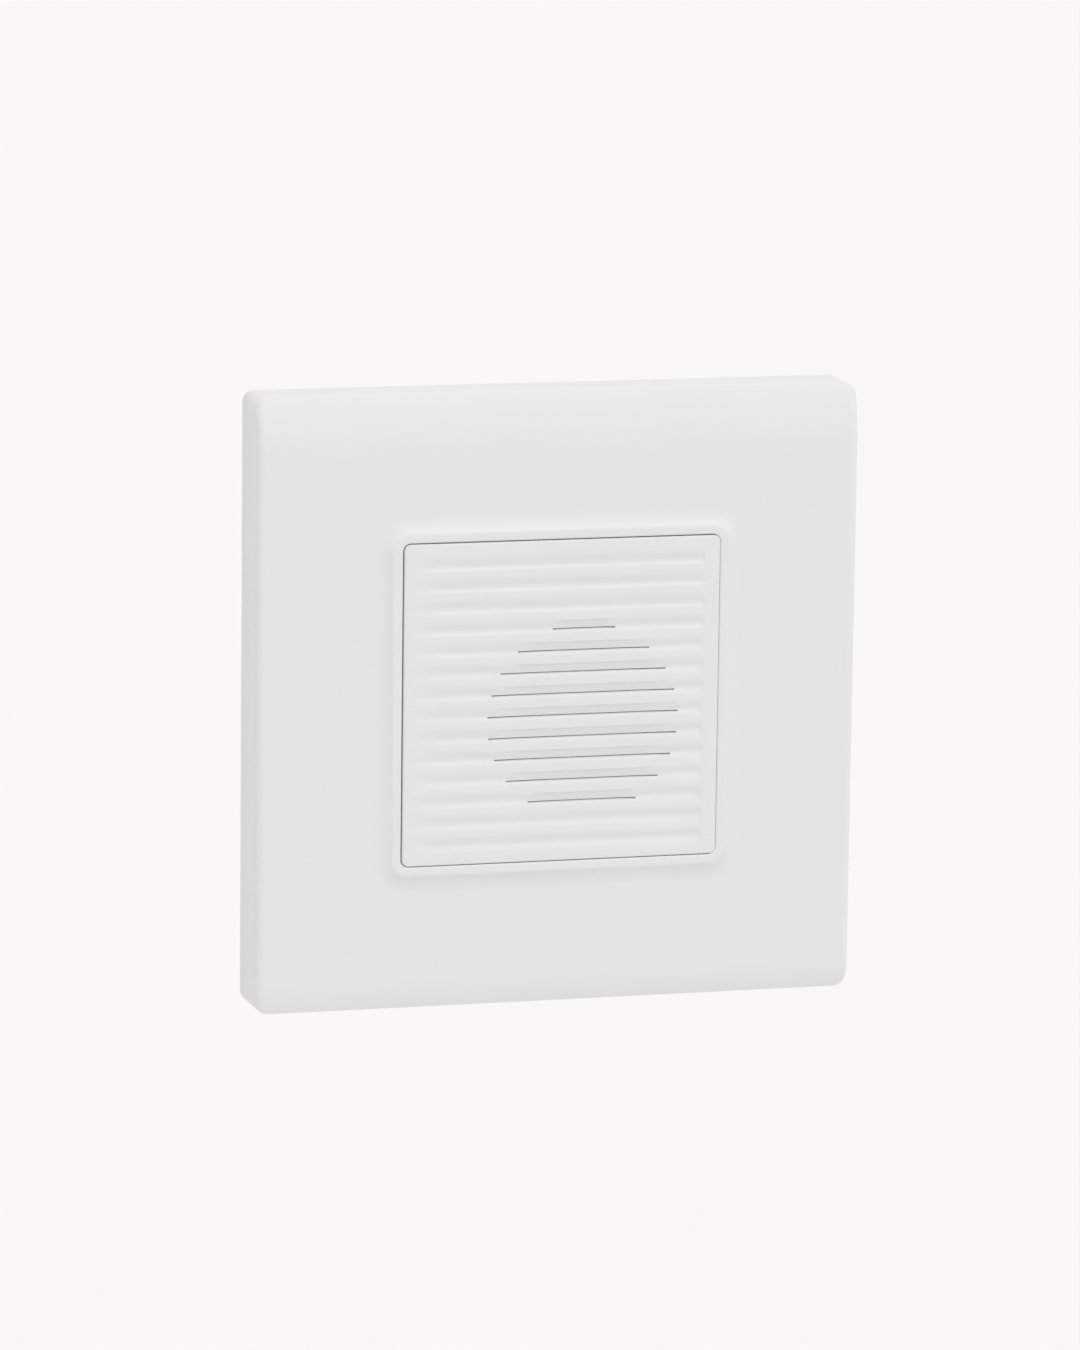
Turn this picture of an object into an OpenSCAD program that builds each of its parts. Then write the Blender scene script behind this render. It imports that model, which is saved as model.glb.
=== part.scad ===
// Flush wall chime: a 45 mm electronic chime insert with a small loudspeaker, carried by a
// support frame on a wall box and finished by a square cover frame.
// Each piece is drawn as the room sees it, with x to the right, y up and z out of the wall,
// and is then stood upright, so that the wall is the plane Y = 0 and the room is on the -Y side.

/* [Cover frame] */
// Width and height of the frame
frame_w = 85; // [82:0.5:95]
// How far the front face stands out from the wall
frame_h = 9.6; // [9.4:0.1:11]
// Radius of the four corners of the outline
frame_corner_r = 2; // [1.4:0.1:4]
// Radius that rounds the front face into the sides
frame_edge_r = 0.9; // [0.4:0.1:1.2]
// Width of the upper and lower strips of the face that curve back to the edge
crown_w = 5.5; // [4:0.1:6]
// Radius of that curve
crown_r = 12; // [10:0.5:20]
// Wall thickness
frame_wall = 1.8; // [1.4:0.1:2.2]
// Width of the flat top of the collar round the window
collar_w = 1.2; // [0.9:0.1:1.6]
// Height of the collar above the front face
collar_h = 0.7; // [0.4:0.1:1]
// Radius of the hollow slope that leads up to the collar
collar_blend_r = 4; // [2:0.5:8]
// Thickness of the ribs and clip lugs inside the frame
rib_t = 1.4; // [1:0.1:1.8]
// Width of the notch in the lower edge that takes a screwdriver blade
notch_w = 8; // [5:0.5:12]

/* [Grille cover] */
// Width and height of the insert
insert_w = 44.5; // [44.3:0.1:44.8]
// Gap between the insert and the frame's window
insert_gap = 0.2; // [0.15:0.05:0.3]
// Radius of the insert's corners
insert_corner_r = 0.9; // [0.6:0.1:1.4]
// Radius of the insert's front edges
insert_edge_r = 0.35; // [0.2:0.05:0.5]
// Side wall of the grille cover
insert_wall = 1.4; // [1:0.1:1.6]
// Front wall of the grille cover
insert_front = 1.6; // [1.4:0.1:1.8]
// Number of level grooves across the front
groove_n = 14; // [10:1:14]
// Plain border above and below the rows of grooves
groove_border = 1.25; // [1:0.05:2.5]
// Depth of a groove
groove_depth = 0.3; // [0.15:0.05:0.6]
// Height of the slope on a groove's upper side
groove_upper = 1.3; // [0.8:0.1:1.4]
// Height of the slope on a groove's lower side
groove_lower = 0.75; // [0.4:0.05:0.9]
// How far the row of grooves sits below the middle of the insert
groove_drop = 0.6; // [0:0.1:0.8]
// Plain border at the two ends of the grooves
groove_margin = 2.2; // [1.8:0.1:4]

/* [Sound field] */
// Distance of the speaker's axis to the right of the middle
sound_x = 3.3; // [3:0.1:3.6]
// Distance of the speaker's axis below the middle
sound_drop = 3; // [2:0.1:4]
// How far the round field of slits stays inside the speaker's flange
sound_inset = 0.5; // [0.3:0.1:4]
// Width of a slit
slit_w = 0.35; // [0.2:0.05:0.5]

/* [Speaker] */
// How much smaller the speaker's flange is than half the insert
speaker_inset = 8.25; // [8.2:0.05:8.5]
// Thickness of the dark cloth behind the slits
gauze_t = 0.25; // [0.15:0.05:0.3]
// Thickness of the foam gasket
gasket_t = 0.8; // [0.7:0.1:1]
// Thickness of the speaker's pressed steel
sheet_t = 0.5; // [0.4:0.1:0.6]
// Thickness of the clamp ring
clamp_t = 1; // [0.8:0.1:1.2]
// Depth of the pressed basket behind its flange
basket_depth = 3.35; // [3:0.05:3.6]
// Distance from the speaker's edge in to the voice coil
coil_inset = 9; // [8.8:0.1:9.4]
// Cone travel each way
cone_travel = 0.5; // [0.2:0.1:0.5]
// Thickness of the magnet
magnet_t = 1.6; // [1.4:0.1:2]

/* [Support frame] */
// Distance from the wall box screws to the edge of the support frame
support_edge = 5.5; // [5:0.1:7]
// Thickness of its plate
support_t = 2; // [1.6:0.1:2.2]
// Height of the seat for the insert above the wall
seat_h = 4.5; // [4.2:0.1:4.6]
// Distance between opposite wall box screws
screw_pitch = 60; // [60:0.1:60.5]
// Width of the screw slots
slot_w = 3.8; // [3.2:0.1:4.2]
// Length of the screw slots
slot_l = 8; // [6:0.1:8]

/* [Rear box] */
// How far the insert's flange reaches past the sides of the box
flange_lip = 0.95; // [0.8:0.05:1.3]
// Thickness of the flange that rests on the seat
flange_t = 1.5; // [1.2:0.1:1.6]
// Depth of the box behind the wall plane
box_depth = 24; // [23:0.1:28]
// Wall thickness of the box
box_wall = 1.4; // [1.2:0.1:1.6]
// Thickness of the box's back
back_wall = 1.5; // [1.2:0.1:2]
// Radius of the box's corners
box_corner_r = 4; // [3:0.1:5]

/* [Circuit board] */
// Distance of the board's front behind the wall plane
board_set_back = 2.4; // [2:0.1:3]
// Thickness of the board
board_t = 1.6; // [1:0.1:1.6]
// Distance of the fixing screws from the box's inner walls
board_screw_inset = 3.5; // [3.2:0.1:4]
// Radius of the bosses that carry the board
boss_r = 2.5; // [2:0.1:2.8]
// Radius of the fixing screws
board_screw_r = 0.85; // [0.7:0.05:1]

/* [Components] */
// Length of the film capacitor
film_l = 18; // [15:0.5:18.5]
// Width of the film capacitor
film_w = 6; // [5:0.5:7]
// Height of the film capacitor
film_h = 11; // [8:0.5:16]
// Radius of the smoothing capacitor
can_r = 4; // [3:0.25:4.25]
// Height of the smoothing capacitor
can_h = 11.5; // [8:0.5:16]
// Width of the rectifier
bridge_w = 6.4; // [5:0.2:6.8]
// Height of the rectifier
bridge_h = 3; // [2:0.2:4]
// Length of the melody chip
chip_l = 5; // [4.6:0.1:6]
// Width of the melody chip
chip_w = 4; // [3.5:0.1:5]
// Height of the melody chip
chip_h = 1.5; // [1.2:0.1:1.8]
// Distance between the chip's pins
pin_pitch = 1.27; // [1:0.01:1.27]
// Radius of the varistor
varistor_r = 3.5; // [2.5:0.25:4]
// Thickness of the varistor
varistor_t = 3; // [2:0.25:3.5]
// Radius of the fuse resistor
resistor_r = 1.5; // [1:0.1:1.8]
// Length of the fuse resistor's body
resistor_l = 7.2; // [6:0.2:8]
// Width of the volume trimmer
trimmer_w = 6.6; // [6:0.2:7]
// Height of the volume trimmer
trimmer_h = 4.4; // [3.5:0.1:5]
// Radius of the volume spindle
spindle_r = 1.5; // [1.2:0.1:1.8]

/* [Terminals] */
// Distance between the two terminals
term_pitch = 12; // [11.6:0.1:13]
// Radius of the clamp screws
term_screw_r = 1.45; // [1.2:0.05:1.5]
// Radius of the clamp screws' heads
head_r = 2.4; // [2:0.1:2.6]
// How far a cage lifts when its screw is driven home
cage_lift = 2.5; // [1.5:0.1:2.6]
// Radius of the wire holes
wire_hole_r = 1.7; // [1.2:0.1:1.8]

/* [Fits] */
// Clearance of the rear box in the support frame's window
window_clear = 0.2; // [0.1:0.05:0.3]
// Clearance round parts that slide or turn
slide_clear = 0.2; // [0.15:0.05:0.3]
// Clearance round the volume spindle
spindle_clear = 0.06; // [0.04:0.01:0.1]
// Clearance round self-tapping screws
screw_clear = 0.05; // [0.03:0.01:0.1]

/* [Hidden] */
$fn = 64;
// How far one shape is sunk into the next, so that they join
sink = 0.2;
// How far a cut runs past the face it opens
past = 1;

// Heights out of the wall
front_z = frame_h + collar_h;
grille_back_z = front_z - insert_front;
box_front_z = seat_h + flange_t;
gauze_back_z = grille_back_z - gauze_t;
gasket_back_z = gauze_back_z - gasket_t;
rim_t = 0.2;
rim_back_z = gasket_back_z - rim_t;
flange_back_z = rim_back_z - sheet_t;
clamp_back_z = flange_back_z - clamp_t;
basket_back_z = flange_back_z - basket_depth;
pot_front_z = basket_back_z + sheet_t;
pole_t = 1;
pole_back_z = pot_front_z - pole_t;
magnet_back_z = pole_back_z - magnet_t;
pot_floor = 1;
pot_back_z = magnet_back_z - pot_floor;
board_front_z = -board_set_back;
board_back_z = board_front_z - board_t;
box_back_z = -box_depth;
box_floor_z = box_back_z + back_wall;

// Rear box
box_w = insert_w - 2 * flange_lip;
box_in = box_w / 2 - box_wall;
nose_l = 10;
nose_out = 0.8;
nose_clear = 0.4;
nose_back_z = 0.2;
nose_front_z = support_t - slide_clear;

// Support frame
support_w = screw_pitch + 2 * support_edge;
support_corner_r = 6;
seat_corner_r = 2;

// Cover frame
window_w = insert_w + 2 * insert_gap;
window_r = insert_corner_r + insert_gap;
blend_w = sqrt(2 * collar_blend_r * collar_h - collar_h * collar_h);
skirt_z = seat_h + 0.5;
skirt_out = window_w / 2 + collar_w;
seat_w = 2 * skirt_out - 0.1;
shell_in = frame_w / 2 - frame_wall;
shell_in_r = 1.2;
roof_z = frame_h - frame_wall;
rib_back_z = seat_h + 0.3;
rib_at = [-20, 20];
lug_l = 5;
lug_inset = 2.5;
lug_x = support_w / 2 - lug_inset;
lug_y = 26;
lug_back_z = 0.4;
notch_h = 1.2;

// Grille cover
speaker_r = insert_w / 2 - speaker_inset;
sound_r = speaker_r - sound_inset;
sound_y = -sound_drop;
hollow_r = 0.5;
groove_l = insert_w - 2 * groove_margin;
groove_pitch = (insert_w - 2 * groove_border) / groove_n;
groove_ys = [for (k = [0:groove_n - 1]) ((groove_n - 1) / 2 - k) * groove_pitch - groove_drop];
tongue_w = 8;
tongue_t = 1.2;
tongue_out = box_in - 0.15;
tongue_back_z = 1;
barb_h = 1.5;
barb_out = 0.7;
barb_clear = 0.3;

// Speaker
coil_r = speaker_r - coil_inset;
mouth_r = speaker_r - 1.6;
cone_r = mouth_r - 1.6;
cone_t = 0.25;
dome_h = 1.2;
basket_floor_r = mouth_r - 3.2;
vent_r = 0.7;
former_t = 0.15;
winding_t = 0.3;
winding_h = 1.8;
coil_gap = 0.35;
winding_r = coil_r + former_t + winding_t;
pole_r = coil_r - 0.4;
magnet_r = pole_r - 0.2;
pot_in_r = winding_r + coil_gap;
pot_r = pot_in_r + 1.1;
valley_z = pot_front_z + cone_travel + 0.7;
coil_back_z = magnet_back_z + cone_travel + 0.6;
post_r = 1.6;
post_ring_r = speaker_r + 0.3 + post_r;
post_angles = [80, 200, 320];
clamp_in_r = mouth_r + 0.4;
clamp_out_r = speaker_r + 0.6;
clamp_screw_r = 0.65;
clamp_head_r = 1.5;
clamp_head_h = 0.9;
strip_t = 0.8;
strip_l = 7;
strip_x = sound_x - speaker_r + 1.4;
lead_r = 0.45;
lead_bend_r = 2;
lead_stub = 1;
lead_gap = 4;

// Circuit board and its components
board_w = 2 * box_in - 0.6;
board_half = board_w / 2;
board_corner_r = 3;
board_screw_at = box_in - board_screw_inset;
board_head_r = 1.9;
board_head_h = 1.3;
board_screw_l = 6;
pilot_l = 8;
part_gap = 0.6;
film_corner_r = 0.6;
bridge_corner_r = 0.5;
leg_r = 0.35;
leg_h = 1.5;
film_side = 4.6;
film_gap = 1.7;
bridge_shift = 4.9;
varistor_leg = 1;
resistor_leg = 1.6;
trimmer_x = -board_half + trimmer_w / 2 + 3.3;
trimmer_y = 0;
film_at = [-board_half + film_l / 2 + film_side, trimmer_y - (trimmer_w + film_w) / 2 - film_gap];
can_at = [film_at[0] + film_l / 2 + part_gap + can_r, film_at[1]];
bridge_at = [can_at[0] + bridge_shift, can_at[1] + can_r + part_gap + bridge_w / 2];
chip_at = [-board_half + chip_l / 2 + 5.1, board_half - chip_w / 2 - 8.6];
varistor_at = [-board_half + varistor_r + 8.1, film_at[1] - film_w / 2 - 2.5 - varistor_t / 2];
resistor_at = [0, film_at[1] + film_w / 2 + 5 + resistor_r];
resistor_lift = resistor_r + 0.5;
trimmer_back_z = board_back_z - trimmer_h;
spindle_collar_r = spindle_r + 1.1;
spindle_tip_z = box_back_z - 0.3;

// Terminals, which hang from the top of the box
bar_t = 0.8;
bar_w = 4.2;
tail_w = 1.4;
cell_wall = 1.4;
term_z = box_back_z + 7.5;
cage_w = 6.4;
cage_d = 5.6;
cage_floor = 1.2;
cage_open_w = 4.8;
cage_open_h = 4;
cage_top = 2.2;
shelf_t = 1.2;
head_h = 1.4;
head_y = box_in - slide_clear - head_h;
shelf_y = head_y - shelf_t;
cage_top_y = shelf_y - cage_lift - slide_clear;
cage_open_y = cage_top_y - cage_top - cage_open_h;
cage_y = cage_open_y - cage_floor;
term_y = cage_open_y + cage_open_h - slide_clear;
tip_y = term_y + 0.3;
cell_half = cage_w / 2 + slide_clear;
block_half = term_pitch / 2 + cell_half + cell_wall;
block_reach = 4;
block_front_z = term_z + block_reach;
block_y = cage_y - slide_clear - cell_wall;
wire_y = cage_open_y + wire_hole_r - 0.2;

// Stands a piece that was drawn facing up into its place on the wall
module upright() {
    rotate([90, 0, 0]) children();
}

// Rectangle with round corners
module rounded(w, h, r) {
    square([w - 2 * r, h], center = true);
    square([w, h - 2 * r], center = true);
    for (x = [-1, 1], y = [-1, 1]) translate([x * (w / 2 - r), y * (h / 2 - r)]) circle(r);
}

// Flat piece with round corners between two heights
module slab(w, h, r, z0, z1) {
    translate([0, 0, z0]) linear_extrude(z1 - z0) rounded(w, h, r);
}

// Block given by its two opposite corners
module block(a, b) {
    translate(a) cube(b - a);
}

// Upright rod between two heights
module rod(x, y, r, z0, z1) {
    translate([x, y, z0]) cylinder(r = r, h = z1 - z0);
}

// Carries a profile round a square path whose corners turn about points at a distance a from the middle
module around(a) {
    for (k = [0:3]) rotate(90 * k) translate([a, a, 0]) {
        rotate_extrude(angle = 90) children();
        rotate([90, 0, 0]) linear_extrude(2 * a) children();
    }
}

// Solid square block with round corners and a round front edge
module cushion(w, corner_r, edge_r, z0, z1) {
    a = w / 2 - corner_r;
    around(a) difference() {
        translate([0, z0]) square([corner_r, z1 - z0]);
        translate([corner_r - edge_r, z1 - edge_r]) difference() {
            square(2 * edge_r);
            circle(edge_r);
        }
    }
    translate([-a, -a, z0]) cube([2 * a, 2 * a, z1 - z0]);
}

// Places a turned piece on the speaker's axis, from a profile of radius and height
module turned() {
    translate([sound_x, sound_y, 0]) rotate_extrude() children();
}

// Flat ring on the speaker's axis
module ring(r0, r1, z0, z1) {
    turned() translate([r0, z0]) square([r1 - r0, z1 - z0]);
}

// Repeats a piece at the three speaker posts
module at_posts() {
    for (t = post_angles)
        translate([sound_x + post_ring_r * cos(t), sound_y + post_ring_r * sin(t), 0]) children();
}

// Repeats a piece at the four board screws
module at_board_screws() {
    for (x = [-1, 1], y = [-1, 1]) translate([x * board_screw_at, y * board_screw_at, 0]) children();
}

// Repeats a piece at the two terminals
module at_terminals() {
    for (x = [-1, 1]) translate([x * term_pitch / 2, 0, 0]) children();
}

// What is taken off the face where it curves back to the upper and lower edges
module crown_cuts() {
    for (k = [0, 1]) mirror([0, k, 0])
        translate([-frame_w / 2 - past, frame_w / 2 - crown_w, frame_h - crown_r]) rotate([90, 0, 90])
            linear_extrude(frame_w + 2 * past) difference() {
                square([crown_w + past, crown_r + past]);
                circle(crown_r);
            }
}

// Hollow square moulding with a raised collar round its window, ribs and clip lugs inside
module cover_frame() {
    opening = window_w + 2 * (collar_w + blend_w);
    opening_r = window_r + collar_w + blend_w;
    cavity = 2 * shell_in;
    color("white") upright() difference() {
        union() {
            difference() {
                cushion(frame_w, frame_corner_r, frame_edge_r, 0, frame_h);
                slab(cavity, cavity, shell_in_r, -past, roof_z);
                slab(opening, opening, opening_r, roof_z - past, frame_h + past);
            }
            around(window_w / 2 - window_r) {
                translate([window_r, skirt_z]) square([collar_w, front_z - skirt_z]);
                translate([window_r + collar_w, roof_z]) difference() {
                    square([blend_w, front_z - roof_z]);
                    translate([blend_w, frame_wall + collar_blend_r]) circle(collar_blend_r);
                }
            }
            for (k = [0:3], s = rib_at) rotate(90 * k)
                block(
                    [skirt_out - sink, s - rib_t / 2, rib_back_z],
                    [shell_in + sink, s + rib_t / 2, roof_z]
                );
            for (x = [-1, 1], y = [-1, 1])
                translate([x * lug_x, y * lug_y, 0])
                    block([-rib_t / 2, -lug_l / 2, lug_back_z], [rib_t / 2, lug_l / 2, roof_z + sink]);
        }
        crown_cuts();
        block([-notch_w / 2, -frame_w / 2 - past, -past], [notch_w / 2, -shell_in + past, notch_h]);
    }
}

// Plate on the wall box: screw slots, slots for the cover's lugs and a raised seat for the insert
module support_frame() {
    window = box_w + 2 * window_clear;
    color("silver") upright() difference() {
        union() {
            slab(support_w, support_w, support_corner_r, 0, support_t);
            slab(seat_w, seat_w, seat_corner_r, support_t - sink, seat_h);
        }
        slab(window, window, box_corner_r, -past, seat_h + past);
        for (k = [0:3]) rotate(90 * k) translate([screw_pitch / 2, 0, -past]) linear_extrude(seat_h) {
            square([slot_l - slot_w, slot_w], center = true);
            for (x = [-1, 1]) translate([x * (slot_l - slot_w) / 2, 0]) circle(slot_w / 2);
        }
        for (x = [-1, 1], y = [-1, 1]) translate([x * lug_x, y * lug_y, 0])
            block(
                [-rib_t / 2 - slide_clear, -lug_l / 2 - slide_clear, -past],
                [rib_t / 2 + slide_clear, lug_l / 2 + slide_clear, support_t + past]
            );
        for (y = [-1, 1]) translate([0, y * box_w / 2, 0])
            block(
                [-nose_l / 2 - nose_clear, -nose_out - nose_clear, -past],
                [nose_l / 2 + nose_clear, nose_out + nose_clear, support_t]
            );
    }
}

// Front of the insert: grooved face, slits for the sound, posts for the speaker and two snap tongues
module grille_cover() {
    hollow = insert_w - 2 * insert_wall;
    color("white") upright() difference() {
        union() {
            difference() {
                cushion(insert_w, insert_corner_r, insert_edge_r, box_front_z, front_z);
                slab(hollow, hollow, hollow_r, box_front_z - past, grille_back_z);
            }
            at_posts() rod(0, 0, post_r, flange_back_z, grille_back_z + sink);
            for (x = [0, 1]) mirror([x, 0, 0]) {
                block(
                    [tongue_out - tongue_t, -tongue_w / 2, tongue_back_z],
                    [tongue_out, tongue_w / 2, grille_back_z + sink]
                );
                translate([tongue_out, tongue_w / 2, tongue_back_z]) rotate([90, 0, 0])
                    linear_extrude(tongue_w) polygon([
                        [-sink, 0],
                        [0, 0],
                        [barb_out, barb_h],
                        [-sink, barb_h]
                    ]);
            }
        }
        for (y = groove_ys) translate([-groove_l / 2, y, front_z]) rotate([90, 0, 90])
            linear_extrude(groove_l) polygon([
                [slit_w / 2 + 2 * groove_upper, groove_depth],
                [slit_w / 2, -groove_depth],
                [-slit_w / 2, -groove_depth],
                [-slit_w / 2 - 2 * groove_lower, groove_depth]
            ]);
        for (y = groove_ys) if (abs(y - sound_y) < sound_r) {
            half = sqrt(sound_r * sound_r - (y - sound_y) * (y - sound_y));
            block(
                [sound_x - half, y - slit_w / 2, grille_back_z - past],
                [sound_x + half, y + slit_w / 2, front_z]
            );
        }
        at_posts() rod(0, 0, clamp_screw_r + screw_clear, flange_back_z - past, grille_back_z);
    }
}

// Dark cloth that keeps dust out of the speaker
module dust_gauze() {
    color("dimgray") upright() ring(0, speaker_r + 0.2, gauze_back_z, grille_back_z);
}

// Foam ring between the cloth and the speaker's rim
module speaker_gasket() {
    color("black") upright() ring(mouth_r + 0.1, speaker_r, gasket_back_z, gauze_back_z);
}

// Ring with three ears that presses the speaker against the grille
module speaker_clamp() {
    color("silver") upright() difference() {
        union() {
            translate([sound_x, sound_y, clamp_back_z]) cylinder(r = clamp_out_r, h = clamp_t);
            at_posts() rod(0, 0, post_r + 0.4, clamp_back_z, flange_back_z);
        }
        translate([sound_x, sound_y, clamp_back_z - past]) cylinder(r = clamp_in_r, h = clamp_t + 2 * past);
        at_posts() rod(0, 0, clamp_screw_r + slide_clear, clamp_back_z - past, flange_back_z + past);
    }
}

// Three small screws that hold the clamp ring to the posts
module clamp_screws() {
    color("gainsboro") upright() at_posts() difference() {
        union() {
            rod(0, 0, clamp_head_r, clamp_back_z - clamp_head_h, clamp_back_z);
            rod(0, 0, clamp_screw_r, clamp_back_z - sink, grille_back_z - slide_clear);
        }
        for (t = [0, 90]) rotate(t)
            block([-1, -0.2, clamp_back_z - 2], [1, 0.2, clamp_back_z - clamp_head_h / 2]);
    }
}

// Pressed steel dish that carries the cone's edge at its mouth and the magnet in its floor
module speaker_basket() {
    hole_r = pot_r + 0.05;
    vent_at = (hole_r + basket_floor_r) / 2;
    color("lightgray") upright() difference() {
        turned() polygon([
            [speaker_r, rim_back_z],
            [speaker_r, flange_back_z],
            [mouth_r + sheet_t / 2, flange_back_z],
            [basket_floor_r + sheet_t / 2, basket_back_z],
            [hole_r, basket_back_z],
            [hole_r, pot_front_z],
            [basket_floor_r - sheet_t / 2, pot_front_z],
            [mouth_r, rim_back_z]
        ]);
        for (t = [45:90:315]) translate([sound_x, sound_y, 0]) rotate(t)
            rod(vent_at, 0, vent_r, basket_back_z - past, pot_front_z + past);
    }
}

// Soft half roll that joins the cone to the basket's rim
module cone_surround() {
    roll_in = cone_r + 0.1;
    chord = mouth_r - roll_in;
    rise = 0.4;
    roll_r = (chord * chord / 4 + rise * rise) / (2 * rise);
    color("dimgray") upright() turned() {
        translate([mouth_r - 0.2, rim_back_z]) square([speaker_r - 0.4 - mouth_r + 0.2, rim_t]);
        intersection() {
            translate([(roll_in + mouth_r) / 2, rim_back_z + rise - roll_r]) difference() {
                circle(roll_r);
                circle(roll_r - rim_t);
            }
            translate([roll_in - 0.5, rim_back_z]) square([chord + 1, 1]);
        }
    }
}

// Thin cone with a domed middle
module speaker_cone() {
    dome_r = (coil_r * coil_r + dome_h * dome_h) / (2 * dome_h);
    color("gainsboro") upright() turned() {
        polygon([
            [coil_r - 0.3, valley_z],
            [coil_r + former_t + 0.2, valley_z],
            [cone_r, rim_back_z],
            [cone_r, rim_back_z + cone_t],
            [coil_r + former_t, valley_z + cone_t],
            [coil_r - 0.3, valley_z + cone_t]
        ]);
        intersection() {
            translate([0, valley_z + dome_h - dome_r]) difference() {
                circle(dome_r + cone_t);
                circle(dome_r);
            }
            translate([0, valley_z]) square([coil_r, 2 * dome_h]);
        }
    }
}

// Paper former with its winding, glued under the cone
module voice_coil() {
    color("peru") upright() {
        ring(coil_r, coil_r + former_t, coil_back_z, valley_z);
        ring(coil_r + former_t - 0.01, winding_r, coil_back_z, coil_back_z + winding_h);
    }
}

// Steel disc on the magnet, inside the coil
module pole_plate() {
    color("lightgray") upright() ring(0, pole_r, pole_back_z, pot_front_z);
}

// Disc magnet
module speaker_magnet() {
    color("gray") upright() ring(0, magnet_r, magnet_back_z, pole_back_z);
}

// Steel cup round the magnet
module magnet_pot() {
    color("lightgray") upright() turned() difference() {
        translate([0, pot_back_z]) square([pot_r, pot_front_z - pot_back_z]);
        translate([-1, magnet_back_z]) square([pot_in_r + 1, pot_front_z]);
    }
}

// Small board on the basket where the speaker's leads are soldered
module speaker_tag_strip() {
    color("sienna") upright()
        block(
            [strip_x, sound_y - strip_l / 2, basket_back_z - strip_t],
            [sound_x - pot_r - slide_clear, sound_y + strip_l / 2, basket_back_z]
        );
}

// Two short leads from the tag strip to the circuit board
module speaker_leads() {
    top = basket_back_z - strip_t / 2;
    color("firebrick") upright() for (s = [-1, 1]) translate([strip_x, sound_y + s * lead_gap / 2, top]) {
        rotate([0, -90, 0]) cylinder(r = lead_r, h = lead_stub);
        translate([-lead_stub, 0, -lead_bend_r]) rotate([90, 0, 0]) rotate(90) rotate_extrude(angle = 90)
            translate([lead_bend_r, 0]) circle(lead_r);
        rod(-lead_stub - lead_bend_r, 0, lead_r, board_front_z - top, -lead_bend_r);
    }
}

// Body of the insert: box with a flange, board bosses, snap noses and the two terminal cells
module rear_box() {
    inside = 2 * box_in;
    post = term_pitch / 2 - cell_half;
    side = term_pitch / 2 + cell_half;
    foot_z = box_floor_z - sink;
    color("silver") upright() difference() {
        union() {
            difference() {
                union() {
                    slab(box_w, box_w, box_corner_r, box_back_z, box_front_z - sink);
                    slab(insert_w, insert_w, insert_corner_r, seat_h, box_front_z);
                }
                slab(inside, inside, box_corner_r - box_wall, box_floor_z, box_front_z + past);
            }
            at_board_screws() rod(0, 0, boss_r, foot_z, board_back_z);
            for (y = [0, 1]) mirror([0, y, 0]) translate([-nose_l / 2, box_w / 2, 0])
                rotate([90, 0, 90]) linear_extrude(nose_l) polygon([
                    [-sink, nose_back_z],
                    [0, nose_back_z],
                    [nose_out, nose_front_z],
                    [-sink, nose_front_z]
                ]);
            block([-block_half, block_y, foot_z], [block_half, block_y + cell_wall, block_front_z]);
            block([-block_half, shelf_y, foot_z], [block_half, shelf_y + shelf_t, block_front_z]);
            block([-post, block_y, foot_z], [post, box_in + sink, block_front_z]);
            for (x = [0, 1]) mirror([x, 0, 0])
                block([side, block_y, foot_z], [block_half, box_in + sink, block_front_z]);
        }
        at_board_screws()
            rod(0, 0, board_screw_r + screw_clear, board_back_z - pilot_l, board_back_z + past);
        at_terminals() {
            rod(0, wire_y, wire_hole_r, box_back_z - past, box_floor_z + past);
            translate([0, shelf_y + shelf_t + past, term_z]) rotate([90, 0, 0])
                cylinder(r = term_screw_r + slide_clear, h = shelf_t + 2 * past);
            block(
                [-term_screw_r - slide_clear, shelf_y - past, term_z],
                [term_screw_r + slide_clear, head_y + 0.001, block_front_z + past]
            );
            translate([0, box_w / 2 + past, term_z]) rotate([90, 0, 0])
                cylinder(r = head_r - 0.4, h = box_wall + 2 * past);
        }
        rod(trimmer_x, trimmer_y, spindle_r + spindle_clear, box_back_z - past, box_floor_z + past);
        for (x = [0, 1]) mirror([x, 0, 0])
            block(
                [box_in - past, -tongue_w / 2 - barb_clear, tongue_back_z - barb_clear],
                [box_w / 2 + past, tongue_w / 2 + barb_clear, tongue_back_z + barb_h + slide_clear]
            );
    }
}

// Circuit board with screw holes and slots for the contact bars' tails
module circuit_board() {
    color("seagreen") upright() difference() {
        slab(board_w, board_w, board_corner_r, board_back_z, board_front_z);
        at_board_screws() rod(0, 0, board_screw_r + slide_clear, board_back_z - past, board_front_z + past);
        at_terminals()
            block(
                [-tail_w / 2 - slide_clear, term_y - bar_t - slide_clear, board_back_z - past],
                [tail_w / 2 + slide_clear, term_y + slide_clear, board_front_z + past]
            );
    }
}

// Four screws that hold the circuit board to the bosses
module board_screws() {
    color("gainsboro") upright() at_board_screws() difference() {
        union() {
            rod(0, 0, board_head_r, board_front_z, board_front_z + board_head_h);
            rod(0, 0, board_screw_r, board_back_z - board_screw_l, board_front_z + sink);
        }
        for (t = [0, 90]) rotate(t)
            block(
                [-1.2, -0.25, board_front_z + board_head_h / 2],
                [1.2, 0.25, board_front_z + board_head_h + 1]
            );
    }
}

// Boxed capacitor that drops the mains voltage
module film_capacitor() {
    color("goldenrod") upright() translate([film_at[0], film_at[1], 0])
        slab(film_l, film_w, film_corner_r, board_back_z - film_h, board_back_z);
}

// Round capacitor with a groove near its foot
module smoothing_capacitor() {
    color("midnightblue") upright() translate([can_at[0], can_at[1], 0]) difference() {
        rod(0, 0, can_r, board_back_z - can_h, board_back_z);
        translate([0, 0, board_back_z - 1.8]) rotate_extrude() translate([can_r + 0.1, 0]) circle(0.45);
    }
}

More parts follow.
